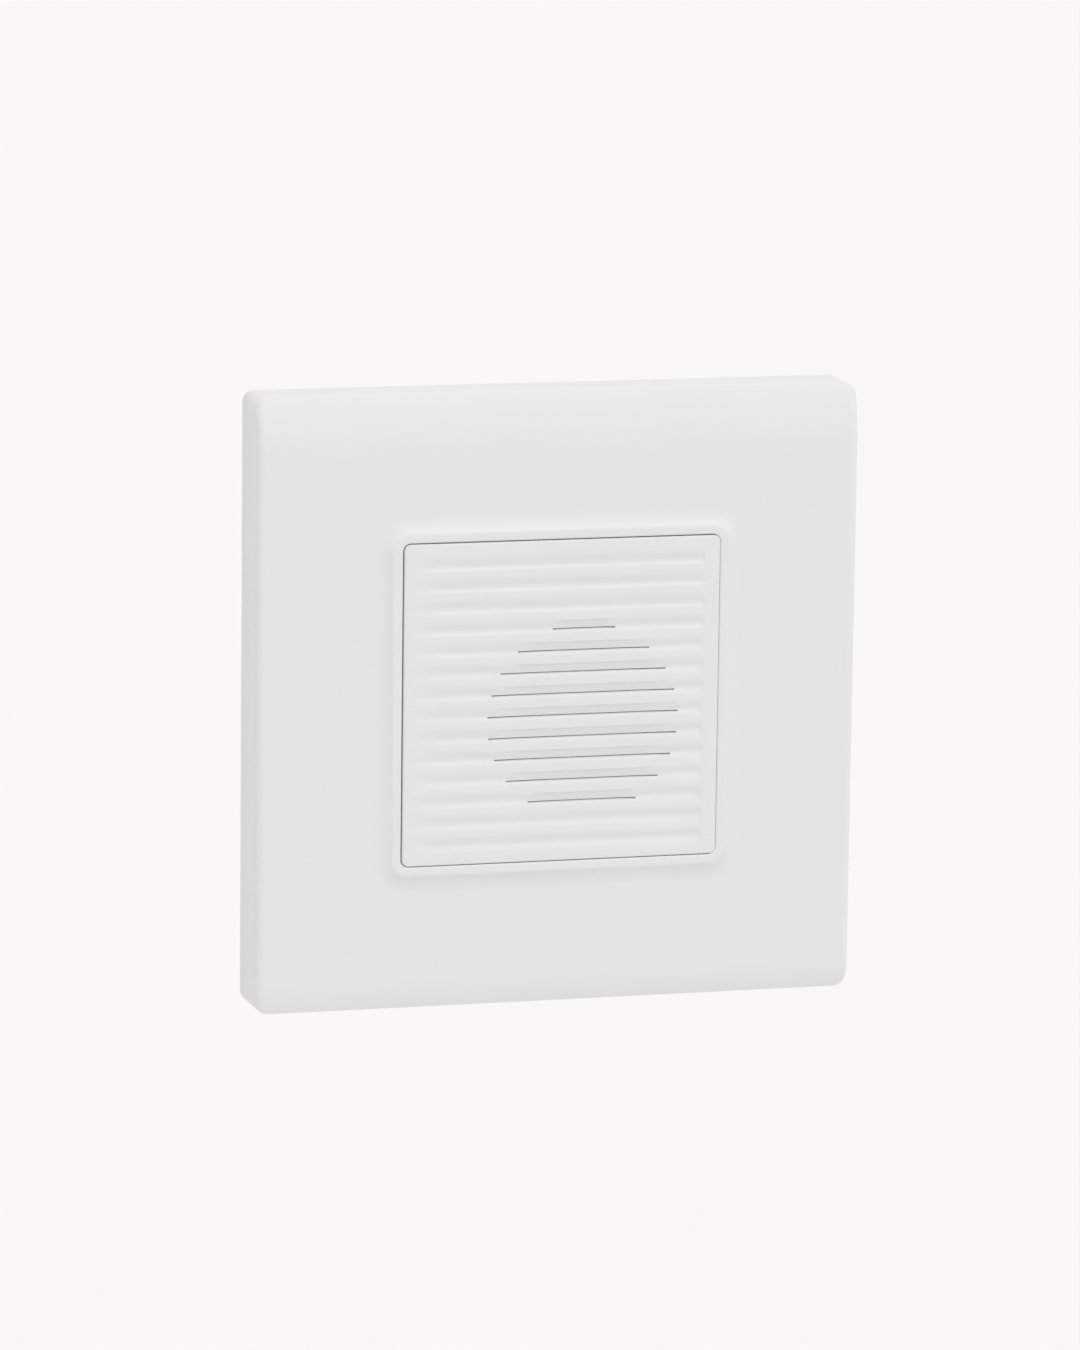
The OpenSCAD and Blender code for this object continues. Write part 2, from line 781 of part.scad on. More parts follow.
// Square rectifier block
module bridge_rectifier() {
    color("black") upright() translate([bridge_at[0], bridge_at[1], 0])
        slab(bridge_w, bridge_w, bridge_corner_r, board_back_z - bridge_h, board_back_z);
}

// Chip on the front of the board with four pins on each side
module melody_chip() {
    side = chip_w / 2;
    color("black") upright() translate([chip_at[0], chip_at[1], board_front_z]) {
        block([-chip_l / 2, -side, 0.15], [chip_l / 2, side, chip_h]);
        for (k = [-1.5:1.5], y = [0, 1]) mirror([0, y, 0]) translate([k * pin_pitch, side, 0]) {
            block([-0.2, -0.1, 0.6], [0.2, 0.7, 0.85]);
            block([-0.2, 0.45, 0], [0.2, 0.7, 0.85]);
            block([-0.2, 0.45, 0], [0.2, 1.2, 0.25]);
        }
    }
}

// Disc on two legs that cuts off voltage spikes
module varistor() {
    color("steelblue") upright() translate([varistor_at[0], varistor_at[1], board_back_z]) {
        translate([0, varistor_t / 2, -varistor_r - leg_h]) rotate([90, 0, 0])
            cylinder(r = varistor_r, h = varistor_t);
        for (x = [-1, 1]) rod(x * (varistor_r - varistor_leg), 0, leg_r, -varistor_r - leg_h, 0);
    }
}

// Fusible resistor lying over the board on its two bent legs
module fuse_resistor() {
    reach = resistor_l / 2 + resistor_leg;
    color("tan") upright() translate([resistor_at[0], resistor_at[1], board_back_z - resistor_lift]) {
        translate([-resistor_l / 2, 0, 0]) rotate([0, 90, 0]) cylinder(r = resistor_r, h = resistor_l);
        for (x = [0, 1]) mirror([x, 0, 0]) {
            translate([resistor_l / 2 - sink, 0, 0]) rotate([0, 90, 0])
                cylinder(r = leg_r, h = reach - resistor_l / 2 + sink);
            translate([reach, 0, 0]) sphere(leg_r);
            rod(reach, 0, leg_r, 0, resistor_lift);
        }
    }
}

// Square body of the volume control, bored for the spindle
module trimmer_body() {
    color("royalblue") upright() translate([trimmer_x, trimmer_y, 0]) difference() {
        slab(trimmer_w, trimmer_w, 0.4, trimmer_back_z, board_back_z);
        rod(0, 0, spindle_r + spindle_clear, trimmer_back_z - past, board_back_z - 1);
    }
}

// Volume spindle: its slotted end shows in the back of the box
module volume_spindle() {
    color("white") upright() translate([trimmer_x, trimmer_y, 0]) difference() {
        union() {
            rod(0, 0, spindle_r, spindle_tip_z, board_back_z - 1.2);
            rod(0, 0, spindle_collar_r, box_floor_z + slide_clear, box_floor_z + slide_clear + 1);
        }
        block([-2 * spindle_r, -0.3, spindle_tip_z - past], [2 * spindle_r, 0.3, spindle_tip_z + 0.9]);
    }
}

// Brass bar from the back of a terminal cell to the circuit board, with a soldered tail
module contact_bar(x) {
    color("gold") upright() translate([x, 0, 0]) {
        block([-bar_w / 2, term_y - bar_t, box_floor_z], [bar_w / 2, term_y, board_back_z]);
        block(
            [-tail_w / 2, term_y - bar_t, board_back_z - sink],
            [tail_w / 2, term_y, board_front_z + 0.8]
        );
    }
}

// Brass cage that lifts a wire against the contact bar
module terminal_cage(x) {
    color("gold") upright() translate([x, 0, term_z]) difference() {
        block([-cage_w / 2, cage_y, -cage_d / 2], [cage_w / 2, cage_top_y, cage_d / 2]);
        block(
            [-cage_open_w / 2, cage_open_y, -cage_d],
            [cage_open_w / 2, cage_open_y + cage_open_h, cage_d]
        );
        translate([0, cage_top_y + past, 0]) rotate([90, 0, 0])
            cylinder(r = term_screw_r + screw_clear, h = cage_top + 2 * past);
    }
}

// Captive screw that lifts the cage
module terminal_screw(x) {
    color("gainsboro") upright() translate([x, 0, term_z]) difference() {
        union() {
            translate([0, head_y + head_h, 0]) rotate([90, 0, 0]) cylinder(r = head_r, h = head_h);
            translate([0, head_y + sink, 0]) rotate([90, 0, 0])
                cylinder(r = term_screw_r, h = head_y + sink - tip_y);
        }
        block([-2 * head_r, head_y + head_h - 0.8, -0.3], [2 * head_r, head_y + head_h + past, 0.3]);
    }
}

module contact_bar_left() { contact_bar(-term_pitch / 2); }
module contact_bar_right() { contact_bar(term_pitch / 2); }
module terminal_cage_left() { terminal_cage(-term_pitch / 2); }
module terminal_cage_right() { terminal_cage(term_pitch / 2); }
module terminal_screw_left() { terminal_screw(-term_pitch / 2); }
module terminal_screw_right() { terminal_screw(term_pitch / 2); }

cover_frame();
support_frame();
grille_cover();
dust_gauze();
speaker_gasket();
speaker_clamp();
clamp_screws();
speaker_basket();
cone_surround();
speaker_cone();
voice_coil();
pole_plate();
speaker_magnet();
magnet_pot();
speaker_tag_strip();
speaker_leads();
rear_box();
circuit_board();
board_screws();
film_capacitor();
smoothing_capacitor();
bridge_rectifier();
melody_chip();
varistor();
fuse_resistor();
trimmer_body();
volume_spindle();
contact_bar_left();
contact_bar_right();
terminal_cage_left();
terminal_cage_right();
terminal_screw_left();
terminal_screw_right();
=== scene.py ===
import math

import bmesh
import bpy
from mathutils import Matrix, Vector


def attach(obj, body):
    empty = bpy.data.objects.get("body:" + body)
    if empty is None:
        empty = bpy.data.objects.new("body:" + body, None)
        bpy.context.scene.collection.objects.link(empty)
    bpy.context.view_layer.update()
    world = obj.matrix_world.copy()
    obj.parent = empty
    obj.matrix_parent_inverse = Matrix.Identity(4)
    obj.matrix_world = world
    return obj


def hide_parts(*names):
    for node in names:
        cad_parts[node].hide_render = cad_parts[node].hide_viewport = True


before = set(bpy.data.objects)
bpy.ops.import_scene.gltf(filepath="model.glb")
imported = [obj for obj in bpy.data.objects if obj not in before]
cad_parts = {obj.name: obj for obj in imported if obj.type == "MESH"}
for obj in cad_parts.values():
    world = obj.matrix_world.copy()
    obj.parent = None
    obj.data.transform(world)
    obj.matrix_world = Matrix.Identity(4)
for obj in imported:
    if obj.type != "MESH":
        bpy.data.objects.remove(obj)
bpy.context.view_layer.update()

# Support frame
# Grey moulded plate that is screwed to the wall box through its four slots. A raised seat round
# its window carries the insert, and the cover frame's lugs drop into the four narrow slots.
MM, WELD = 0.001, 0.0005
CORNERS = ((-1, -1), (-1, 1), (1, -1), (1, 1))
CORNER_STEPS, LEAST_MITRE = 8, 0.3
SUPPORT_HALF, SUPPORT_CORNER = 35.5, 6.0
SUPPORT_BACK, SUPPORT_FACE, SUPPORT_EDGE = 0.0, -2.0, 0.2
SEAT_HALF, SEAT_CORNER, SEAT_FACE, SEAT_SUNK = 23.6, 2.0, -4.5, 0.05
BOX_WINDOW, BOX_WINDOW_CORNER = 21.5, 4.0
WALL_SCREW_AT = 30.0
WALL_SLOT_HALF_LENGTH, WALL_SLOT_HALF_WIDTH = 4.0, 1.9
LUG_X, LUG_Z = 33.0, 26.0
LUG_SLOT_HALF, LUG_SLOT_CORNER, LUG_SLOT_STEPS = (0.9, 2.7), 0.25, 3
POCKET_HALF, POCKET_REACH = 5.4, 22.5
GREY = (0.52, 0.53, 0.54)
SHEEN_SPREAD = 0.04


def rounded_outline(half_x, half_z, radius, x=0.0, z=0.0, steps=CORNER_STEPS, stops=()):
    """Outline of a rectangle with round corners, anticlockwise as the room sees it.

    The stops are points on each straight side, from -1 at its start to 1 at its end.
    """
    run_x, run_z = half_x - radius, half_z - radius
    points = []
    for sx, sz, start in ((1, 1, 0.0), (-1, 1, 0.5), (-1, -1, 1.0), (1, -1, 1.5)):
        for number in range(steps + 1):
            turn = (start + 0.5 * number / steps) * math.pi
            points.append((sx * run_x + radius * math.cos(turn), sz * run_z + radius * math.sin(turn)))
        for stop in stops:
            level = (-sx * stop * run_x, sz * half_z)
            upright = (sx * half_x, -sz * stop * run_z)
            points.append(level if sx == sz else upright)
    return [(x + across, z + up) for across, up in points]


def square(half, radius, stops=()):
    """Outline of a square with round corners about the middle."""
    return rounded_outline(half, half, radius, stops=stops)


def eased(points, inset):
    """The outline moved inwards by a small distance."""
    moved = []
    for number, (x, z) in enumerate(points):
        ax, az = points[number - 1]
        bx, bz = points[(number + 1) % len(points)]
        before = Vector((x - ax, z - az)).normalized()
        after = Vector((bx - x, bz - z)).normalized()
        along = (before + after).normalized()
        stretch = inset / max(LEAST_MITRE, along.dot(after))
        moved.append((x - along.y * stretch, z + along.x * stretch))
    return moved


def quarter(steps):
    """Angles of a quarter turn, from its start to its end."""
    return [0.5 * math.pi * number / steps for number in range(steps + 1)]


def rounding(edge, steps):
    """Insets and drops of an edge's rounding, from the flat face to the side."""
    return [(edge * (1 - math.sin(turn)), edge * (1 - math.cos(turn))) for turn in quarter(steps)]


def loop_at(mould, points, depth):
    """One closed loop of vertices, at one depth or at a list of them."""
    depths = depth if isinstance(depth, list) else [depth] * len(points)
    return [mould.verts.new((x, back, z)) for (x, z), back in zip(points, depths)]


def skin(mould, loops, ring=False):
    """Faces from each loop to the next, and from the last to the first where it is a ring."""
    for a, b in zip(loops, loops[1:] + (loops[:1] if ring else [])):
        for number in range(len(a)):
            after = (number + 1) % len(a)
            mould.faces.new((a[number], a[after], b[after], b[number]))


def edges_round(mould, loop):
    """Edges of a closed loop, in order."""
    return [mould.edges.get((loop[number - 1], loop[number])) for number in range(len(loop))]


def fill_between(mould, edges):
    """Flat face inside one closed run of edges and outside the others."""
    bmesh.ops.triangle_fill(mould, edges=edges, use_beauty=True, use_dissolve=False)


def plate(mould, outline, holes, back, face, edge, steps=3):
    """Flat moulding with holes, whose edges are eased front and back."""
    rows = [(inset, back - drop) for inset, drop in rounding(edge, steps)]
    rows += [(inset, face + drop) for inset, drop in reversed(rounding(edge, steps))]
    backs, faces = [], []
    for number, points in enumerate([outline] + holes):
        sign = -1 if number else 1
        loops = [loop_at(mould, eased(points, sign * inset), depth) for inset, depth in rows]
        skin(mould, loops)
        backs += edges_round(mould, loops[0])
        faces += edges_round(mould, loops[-1])
    fill_between(mould, backs)
    fill_between(mould, faces)


def piece(name, mould, material, sharp=35.0):
    """Closes a mould into a named piece in metres, with its creases kept crisp."""
    bmesh.ops.remove_doubles(mould, verts=mould.verts, dist=WELD)
    bmesh.ops.recalc_face_normals(mould, faces=mould.faces)
    mesh = bpy.data.meshes.new(name)
    mould.to_mesh(mesh)
    mould.free()
    mesh.transform(Matrix.Scale(MM, 4))
    mesh.shade_smooth()
    mesh.set_sharp_from_angle(angle=math.radians(sharp))
    mesh.materials.append(material)
    made = bpy.data.objects.new(name, mesh)
    bpy.context.scene.collection.objects.link(made)
    return made


def fed(tree, node, given):
    """Sets a node's inputs, by name or number, to plain values or to what other nodes give."""
    for key, value in given.items():
        value = getattr(value, "socket", value)
        if isinstance(value, bpy.types.Node):
            value = value.outputs[0]
        if isinstance(value, bpy.types.NodeSocket):
            tree.links.new(value, node.inputs[key])
        else:
            node.inputs[key].default_value = value
    return node


def step(tree, kind, *inputs, given=None, **settings):
    """Adds one node to a tree, with its settings, its first inputs in order and others by name."""
    made = tree.nodes.new(kind)
    for key, value in settings.items():
        setattr(made, key, value)
    return fed(tree, made, dict(enumerate(inputs)) | (given or {}))


def arithmetic(operation, turned=False):
    """One kind of sum, as a way to work with a measure."""
    def work(self, other=0.0):
        pair = (other, self) if turned else (self, other)
        return Measure(self.tree, step(self.tree, "ShaderNodeMath", *pair, operation=operation).outputs[0])
    return work


class Measure:
    """A number inside a node tree, worked with like a plain one."""

    def __init__(self, tree, socket):
        self.tree, self.socket = tree, socket

    __add__, __mul__, __truediv__ = arithmetic("ADD"), arithmetic("MULTIPLY"), arithmetic("DIVIDE")
    __sub__, __rsub__ = arithmetic("SUBTRACT"), arithmetic("SUBTRACT", turned=True)
    __mod__, __pow__ = arithmetic("MODULO"), arithmetic("POWER")
    __gt__, __lt__ = arithmetic("GREATER_THAN"), arithmetic("LESS_THAN")
    __abs__, __floor__, __ceil__ = arithmetic("ABSOLUTE"), arithmetic("FLOOR"), arithmetic("CEIL")
    least, most = arithmetic("MINIMUM"), arithmetic("MAXIMUM")
    root, sine, cosine = arithmetic("SQRT"), arithmetic("SINE"), arithmetic("COSINE")

    def clamped(self):
        """The measure kept between 0 and 1."""
        return Measure(self.tree, step(self.tree, "ShaderNodeClamp", self).outputs[0])


def finish(name):
    """A new finish: its material, node tree and shader, and the piece's own coordinates."""
    material = bpy.data.materials.new(name)
    material.use_nodes = True
    tree = material.node_tree
    place = tree.nodes.new("ShaderNodeTexCoord").outputs["Object"]
    return material, tree, tree.nodes["Principled BSDF"], place


def cloud(tree, place, scale, detail=2.0, stretch=None):
    """Soft irregular pattern, as its strength from 0 to 1."""
    if stretch:
        place = step(tree, "ShaderNodeMapping", given={"Vector": place, "Scale": stretch})
    noise = step(tree, "ShaderNodeTexNoise", given={"Vector": place, "Scale": scale, "Detail": detail})
    return Measure(tree, noise.outputs["Fac"])


def ranged(tree, value, low, high, start=0.3, end=0.7):
    """Spreads a pattern's strength between two values."""
    limits = {"From Min": start, "From Max": end, "To Min": low, "To Max": high}
    spread = step(tree, "ShaderNodeMapRange", given={"Value": value} | limits)
    return Measure(tree, spread.outputs["Result"])


def tinted(tree, amount, base, colour):
    """A base tone that goes over to a colour as the amount goes from 0 to 1."""
    mix = step(tree, "ShaderNodeMix", given={"Factor": amount}, data_type="RGBA")
    tones = [number for number, socket in enumerate(mix.inputs) if socket.type == "RGBA"]
    for number, tone in zip(tones, (base, colour)):
        fed(tree, mix, {number: (*tone, 1) if isinstance(tone, (tuple, list)) else tone})
    return next(socket for socket in mix.outputs if socket.type == "RGBA")


def mottled(tree, pattern, colour, low, high):
    """A colour that a pattern takes from one share of its tone to another."""
    return tinted(tree, pattern, *([min(1.0, tone * share) for tone in colour] for share in (low, high)))


def relief(tree, pattern, height):
    """Fine relief that follows a pattern, with its height in metres."""
    return step(tree, "ShaderNodeBump", given={"Height": pattern, "Distance": height})


def moulded(name, colour, roughness, mottle=0.02, grain=0.000004, grain_scale=5000.0):
    """Injection moulded plastic: a slight mottle, an uneven sheen and the tool's fine grain."""
    material, tree, shader, place = finish(name)
    tone = ranged(tree, cloud(tree, place, scale=90.0), 0.0, 1.0)
    sheen = cloud(tree, place, scale=700.0)
    fed(tree, shader, {
        "Base Color": mottled(tree, tone, colour, 1 - mottle, 1 + mottle),
        "Roughness": ranged(tree, sheen, roughness - SHEEN_SPREAD, roughness + SHEEN_SPREAD),
        "Normal": relief(tree, cloud(tree, place, grain_scale, detail=1.0), grain),
    })
    return material


grey_plastic = moulded(
    "grey_moulded_plastic", GREY, 0.5, mottle=0.015, grain=0.000012, grain_scale=3500.0,
)

mould = bmesh.new()
holes = []
for x, z in ((1, 0), (0, 1), (-1, 0), (0, -1)):
    across, along = WALL_SLOT_HALF_WIDTH, WALL_SLOT_HALF_LENGTH
    half_x, half_z = (along, across) if x else (across, along)
    holes.append(rounded_outline(half_x, half_z, across, x * WALL_SCREW_AT, z * WALL_SCREW_AT))
for sx, sz in CORNERS:
    at = (sx * LUG_X, sz * LUG_Z)
    holes.append(rounded_outline(*LUG_SLOT_HALF, LUG_SLOT_CORNER, *at, LUG_SLOT_STEPS))
window = square(BOX_WINDOW, BOX_WINDOW_CORNER)
pocket = [(POCKET_HALF, BOX_WINDOW), (POCKET_HALF, POCKET_REACH),
          (-POCKET_HALF, POCKET_REACH), (-POCKET_HALF, BOX_WINDOW)]
pocketed = window[:]
corner_points = CORNER_STEPS + 1
for side, before in ((-1, 3 * corner_points), (1, corner_points)):
    pocketed[before:before] = [(side * x, side * z) for x, z in pocket]
plate(
    mould, square(SUPPORT_HALF, SUPPORT_CORNER), holes + [pocketed],
    SUPPORT_BACK, SUPPORT_FACE, SUPPORT_EDGE,
)
plate(
    mould, square(SEAT_HALF, SEAT_CORNER), [window],
    SUPPORT_FACE + SEAT_SUNK, SEAT_FACE, SUPPORT_EDGE,
)
support_frame = piece("support_frame_moulding", mould, grey_plastic)
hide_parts("support_frame")
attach(support_frame, "base")

# Rear box
# Grey moulded box of the insert. Its flange lies on the support frame's seat, two snap noses hold it
# there, and the cells for the terminals and the bosses for the board are moulded inside.
BOX_HALF, BOX_CORNER, BOX_WALL = 21.3, 4.0, 1.4
BOX_INSIDE = BOX_HALF - BOX_WALL
BOX_FLOOR, BOX_BACK, BOX_LIP = 22.5, 24.0, 0.15
BOX_DRAFT, BOX_BACK_EDGE, BOX_BACK_STEPS = 0.12, 0.9, 6
FLANGE_HALF, FLANGE_CORNER = 22.25, 0.9
FLANGE_FACE, FLANGE_BACK = -6.0, SEAT_FACE
FLANGE_EDGE, FLANGE_EDGE_MIDDLE = 0.2, 0.06
# How far a cutter goes past a wall, and a shallow one past its surface
PAST, SKIM = 0.5, 0.1
TERMINAL_X, TERMINAL_Y = 6.0, 16.5
WIRE_HOLE_Z, WIRE_HOLE, WIRE_FUNNEL, FUNNEL_DEPTH = 9.7, 1.7, 2.5, 0.8
HEAD_ACCESS, HEAD_CHAMFER = 2.0, 0.35
SPINDLE_X, SPINDLE_HOLE, SPINDLE_DISH, DISH_DEPTH = -13.0, 1.56, 3.4, 0.3
BARB_WINDOW_HALF, BARB_WINDOW_Y, BARB_WINDOW_EDGE = 4.3, (-2.7, -0.7), 0.3
BARE_FIELD = ((-8.5, -15.0), (13.0, -6.5))
BARE_DEPTH, BARE_EDGE, BARE_STEPS = 0.2, 0.4, 3
EJECTOR_AT, EJECTOR, EJECTOR_DEPTH = 17.2, 1.4, 0.12
NOSE_HALF, NOSE_OUT, NOSE_Y = 5.0, 0.8, (-0.2, -1.8)
NOSE_ROOT, NOSE_LEAD, NOSE_BLUNT = 0.3, 0.2, 0.1
CELL_HALF, CELL_FRONT, CELL_EDGE, CELL_SUNK = 10.8, 12.5, 0.12, 0.2
CELL_SHELF, CELL_ROOF, CELL_MIDDLE, CELL_SIDE = (5.4, 6.8), (17.1, 18.3), 2.6, 9.4
# The cells' upright walls stand this far inside the shelves, so that no two faces fall together
CELL_SHY_X, CELL_SHY_Y, CELL_SHY_Z = 0.01, 0.02, 0.1
NECK_SLOT, NECK_SLOT_FOOT, NECK_SLOT_TOP, NECK_SLOT_EDGE = 1.65, 15.0, 18.301, 0.02
BOSS_AT, BOSS, BOSS_FRONT, BOSS_SIDES = 16.4, 2.5, 4.0, 32
BOSS_EDGE, BOSS_DRAFT, BOSS_BORE, BOSS_BORE_END = 0.15, 0.25, 0.9, 12.0


def capped(mould, loops):
    """Skin over loops, closed by a flat face at either end."""
    skin(mould, loops)
    mould.faces.new(loops[0])
    mould.faces.new(loops[-1])


def prism(mould, ends):
    """Solid between two like sections."""
    capped(mould, [[mould.verts.new(point) for point in end] for end in ends])


def ease(mould, edges, edge, steps=2):
    """Rounds sharp edges over by a small radius."""
    bmesh.ops.bevel(
        mould, geom=list(edges), offset=edge, segments=steps, profile=0.5,
        affect="EDGES", clamp_overlap=True,
    )


def bar(mould, low, high, edge, steps=2):
    """Block between two corners with eased edges."""
    made = bmesh.ops.create_cube(mould, size=1.0)["verts"]
    for vert in made:
        vert.co = [start + (c + 0.5) * (end - start) for start, end, c in zip(low, high, vert.co)]
    ease(mould, dict.fromkeys(edge_of for vert in made for edge_of in vert.link_edges), edge, steps)


def rod(mould, start, end, radius, end_radius=None, sides=40):
    """Round bar or cone from one point to another."""
    start, end = Vector(start), Vector(end)
    along = end - start
    turn = along.to_track_quat("Z", "Y").to_matrix().to_4x4()
    bmesh.ops.create_cone(
        mould, cap_ends=True, segments=sides, radius1=radius,
        radius2=radius if end_radius is None else end_radius, depth=along.length,
        matrix=Matrix.Translation((start + end) / 2) @ turn,
    )


def rod_back(mould, x, z, front, back, radius, end_radius=None, sides=40):
    """Round bar or cone that runs straight back."""
    rod(mould, (x, front, z), (x, back, z), radius, end_radius, sides)


def as_object(name, mould):
    """Object of a mould as it stands, in millimetres."""
    bmesh.ops.recalc_face_normals(mould, faces=mould.faces)
    mesh = bpy.data.meshes.new(name)
    mould.to_mesh(mesh)
    mould.free()
    made = bpy.data.objects.new(name, mesh)
    bpy.context.scene.collection.objects.link(made)
    return made


def recast(worked_object):
    """A new mould of an object as its modifier leaves it; the object and the modifier go."""
    graph = bpy.context.evaluated_depsgraph_get()
    mesh = bpy.data.meshes.new_from_object(worked_object.evaluated_get(graph))
    made = bmesh.new()
    made.from_mesh(mesh)
    bpy.data.meshes.remove(mesh)
    worked_object.modifiers.clear()
    bpy.data.objects.remove(worked_object)
    return made


def worked(name, stock, tools):
    """The stock with the tools' shapes taken away from it, as a new mould."""
    block, cutter = as_object(name + "_stock", stock), as_object(name + "_tools", tools)
    modifier = block.modifiers.new(name, "BOOLEAN")
    modifier.operation = "DIFFERENCE"
    modifier.solver = "EXACT"
    modifier.use_self = True
    modifier.object = cutter
    made = recast(block)
    bpy.data.objects.remove(cutter)
    return made


def joined(mould, part):
    """Adds one mould to another."""
    mesh = bpy.data.meshes.new("part")
    part.to_mesh(mesh)
    part.free()
    mould.from_mesh(mesh)
    bpy.data.meshes.remove(mesh)


body, flange = (BOX_HALF, BOX_CORNER), (FLANGE_HALF, FLANGE_CORNER)
rows = [
    (body, BOX_WALL, BOX_FLOOR),
    (body, BOX_WALL, FLANGE_FACE + BOX_LIP),
    (body, BOX_WALL - BOX_LIP, FLANGE_FACE),
    (flange, FLANGE_EDGE, FLANGE_FACE),
    (flange, FLANGE_EDGE_MIDDLE, FLANGE_FACE + FLANGE_EDGE_MIDDLE),
    (flange, 0.0, FLANGE_FACE + FLANGE_EDGE),
    (flange, 0.0, FLANGE_BACK - FLANGE_EDGE),
    (flange, FLANGE_EDGE_MIDDLE, FLANGE_BACK - FLANGE_EDGE_MIDDLE),
    (flange, FLANGE_EDGE, FLANGE_BACK),
    (body, 0.0, FLANGE_BACK),
]
for inset, drop in reversed(rounding(BOX_BACK_EDGE, BOX_BACK_STEPS)):
    rows.append((body, BOX_DRAFT + inset, BOX_BACK - drop))
stock = bmesh.new()
capped(stock, [
    loop_at(stock, square(half - inset, corner - inset), depth) for (half, corner), inset, depth in rows
])

tools = bmesh.new()
for side in (-1, 1):
    x = side * TERMINAL_X
    funnel = BOX_BACK - FUNNEL_DEPTH
    rod_back(tools, x, WIRE_HOLE_Z, BOX_FLOOR - PAST, funnel + SKIM, WIRE_HOLE)
    rod_back(tools, x, WIRE_HOLE_Z, funnel, BOX_BACK + SKIM, WIRE_HOLE, WIRE_FUNNEL)
    rod(tools, (x, TERMINAL_Y, BOX_INSIDE - PAST), (x, TERMINAL_Y, BOX_HALF + PAST), HEAD_ACCESS)
    rod(
        tools, (x, TERMINAL_Y, BOX_HALF - HEAD_CHAMFER), (x, TERMINAL_Y, BOX_HALF + SKIM),
        HEAD_ACCESS, HEAD_ACCESS + HEAD_CHAMFER,
    )
    low, high = sorted((side * (BOX_INSIDE - PAST), side * (BOX_HALF + PAST)))
    bar(
        tools, (low, BARB_WINDOW_Y[0], -BARB_WINDOW_HALF), (high, BARB_WINDOW_Y[1], BARB_WINDOW_HALF),
        BARB_WINDOW_EDGE,
    )
    for other in (-1, 1):
        x, z = side * EJECTOR_AT, other * EJECTOR_AT
        rod_back(tools, x, z, BOX_BACK - EJECTOR_DEPTH, BOX_BACK + PAST, EJECTOR)
rod_back(tools, SPINDLE_X, 0.0, BOX_FLOOR - PAST, BOX_BACK + PAST, SPINDLE_HOLE)
rod_back(
    tools, SPINDLE_X, 0.0, BOX_BACK - DISH_DEPTH, BOX_BACK + SKIM, SPINDLE_DISH - DISH_DEPTH, SPINDLE_DISH,
)
(low_x, low_z), (high_x, high_z) = BARE_FIELD
bar(
    tools, (low_x, BOX_BACK - BARE_DEPTH, low_z), (high_x, BOX_BACK + 2 * PAST, high_z),
    BARE_EDGE, BARE_STEPS,
)
mould = worked("rear_box_cut", stock, tools)

behind, front = NOSE_Y
for side in (-1, 1):
    root, face, tip = side * (BOX_HALF - NOSE_ROOT), side * BOX_HALF, side * (BOX_HALF + NOSE_OUT)
    section = ((behind, root), (behind, face), (front + NOSE_LEAD, tip),
               (front, tip - side * NOSE_BLUNT), (front, root))
    prism(mould, [[(x, depth, z) for depth, z in section] for x in (-NOSE_HALF, NOSE_HALF)])

cells = bmesh.new()
cell_back = BOX_FLOOR + CELL_SUNK
for low_z, high_z in (CELL_SHELF, CELL_ROOF):
    bar(cells, (-CELL_HALF, CELL_FRONT, low_z), (CELL_HALF, cell_back, high_z), CELL_EDGE)
outer_x = CELL_HALF - CELL_SHY_X
for low_x, high_x in ((-CELL_MIDDLE, CELL_MIDDLE), (-outer_x, -CELL_SIDE), (CELL_SIDE, outer_x)):
    low = (low_x, CELL_FRONT + CELL_SHY_Y, CELL_SHELF[0] + CELL_SHY_Z)
    bar(cells, low, (high_x, cell_back, BOX_INSIDE + CELL_SUNK), CELL_EDGE)
tools = bmesh.new()
for side in (-1, 1):
    x = side * TERMINAL_X
    rod(tools, (x, TERMINAL_Y, NECK_SLOT_FOOT), (x, TERMINAL_Y, NECK_SLOT_TOP), NECK_SLOT)
    bar(
        tools, (x - NECK_SLOT, CELL_FRONT - 2 * PAST, NECK_SLOT_FOOT),
        (x + NECK_SLOT, TERMINAL_Y, NECK_SLOT_TOP), NECK_SLOT_EDGE,
    )
joined(mould, worked("terminal_cells", cells, tools))

turned = (
    (BOSS_BORE, BOSS_BORE_END), (BOSS_BORE, BOSS_FRONT), (BOSS - BOSS_EDGE, BOSS_FRONT),
    (BOSS, BOSS_FRONT + BOSS_EDGE), (BOSS + BOSS_DRAFT, BOX_FLOOR + SKIM),
)
turns = [2 * math.pi * number / BOSS_SIDES for number in range(BOSS_SIDES)]
for sx, sz in CORNERS:
    rings = []
    for radius, depth in turned:
        circle = [(sx * BOSS_AT + radius * math.cos(a), sz * BOSS_AT + radius * math.sin(a)) for a in turns]
        rings.append(loop_at(mould, circle, depth))
    capped(mould, rings)
rear_box = piece("rear_box_moulding", mould, grey_plastic, sharp=28.0)
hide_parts("rear_box")
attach(rear_box, "base")

# Terminals
# Pressed brass cages and contact bars with zinc plated screws. A screw turned from the top of the box
# lifts its cage, which presses the bell wire against the bar.
BRASS, ZINC = (0.80, 0.63, 0.30), (0.75, 0.76, 0.77)
TERMINAL_SCREW = {
    "Screws": 1, "Ring": 0.0, "Ring start": 0.0, "Ring step": 0.0, "Driven": 0.0,
    "Middle x": TERMINAL_X, "Seat depth": TERMINAL_Y, "Middle z": CELL_ROOF[1], "Tilt": 0.0,
    "Head radius": 2.4, "Head height": 1.4, "Head edge": 0.3, "Slot width": 0.6, "Slot depth": 0.8,
    "Length": 6.0, "Neck": 0.6, "Tip": 0.4, "Core": 1.18, "Tip radius": 0.9,
    "Thread": 0.27, "Thread pitch": 0.5,
}
AROUND, HEAD_ROWS, PLAIN_ROWS, TURN_ROWS = 32, 4, 4, 4
CREST_FALL, SEAM = 0.85, 0.001
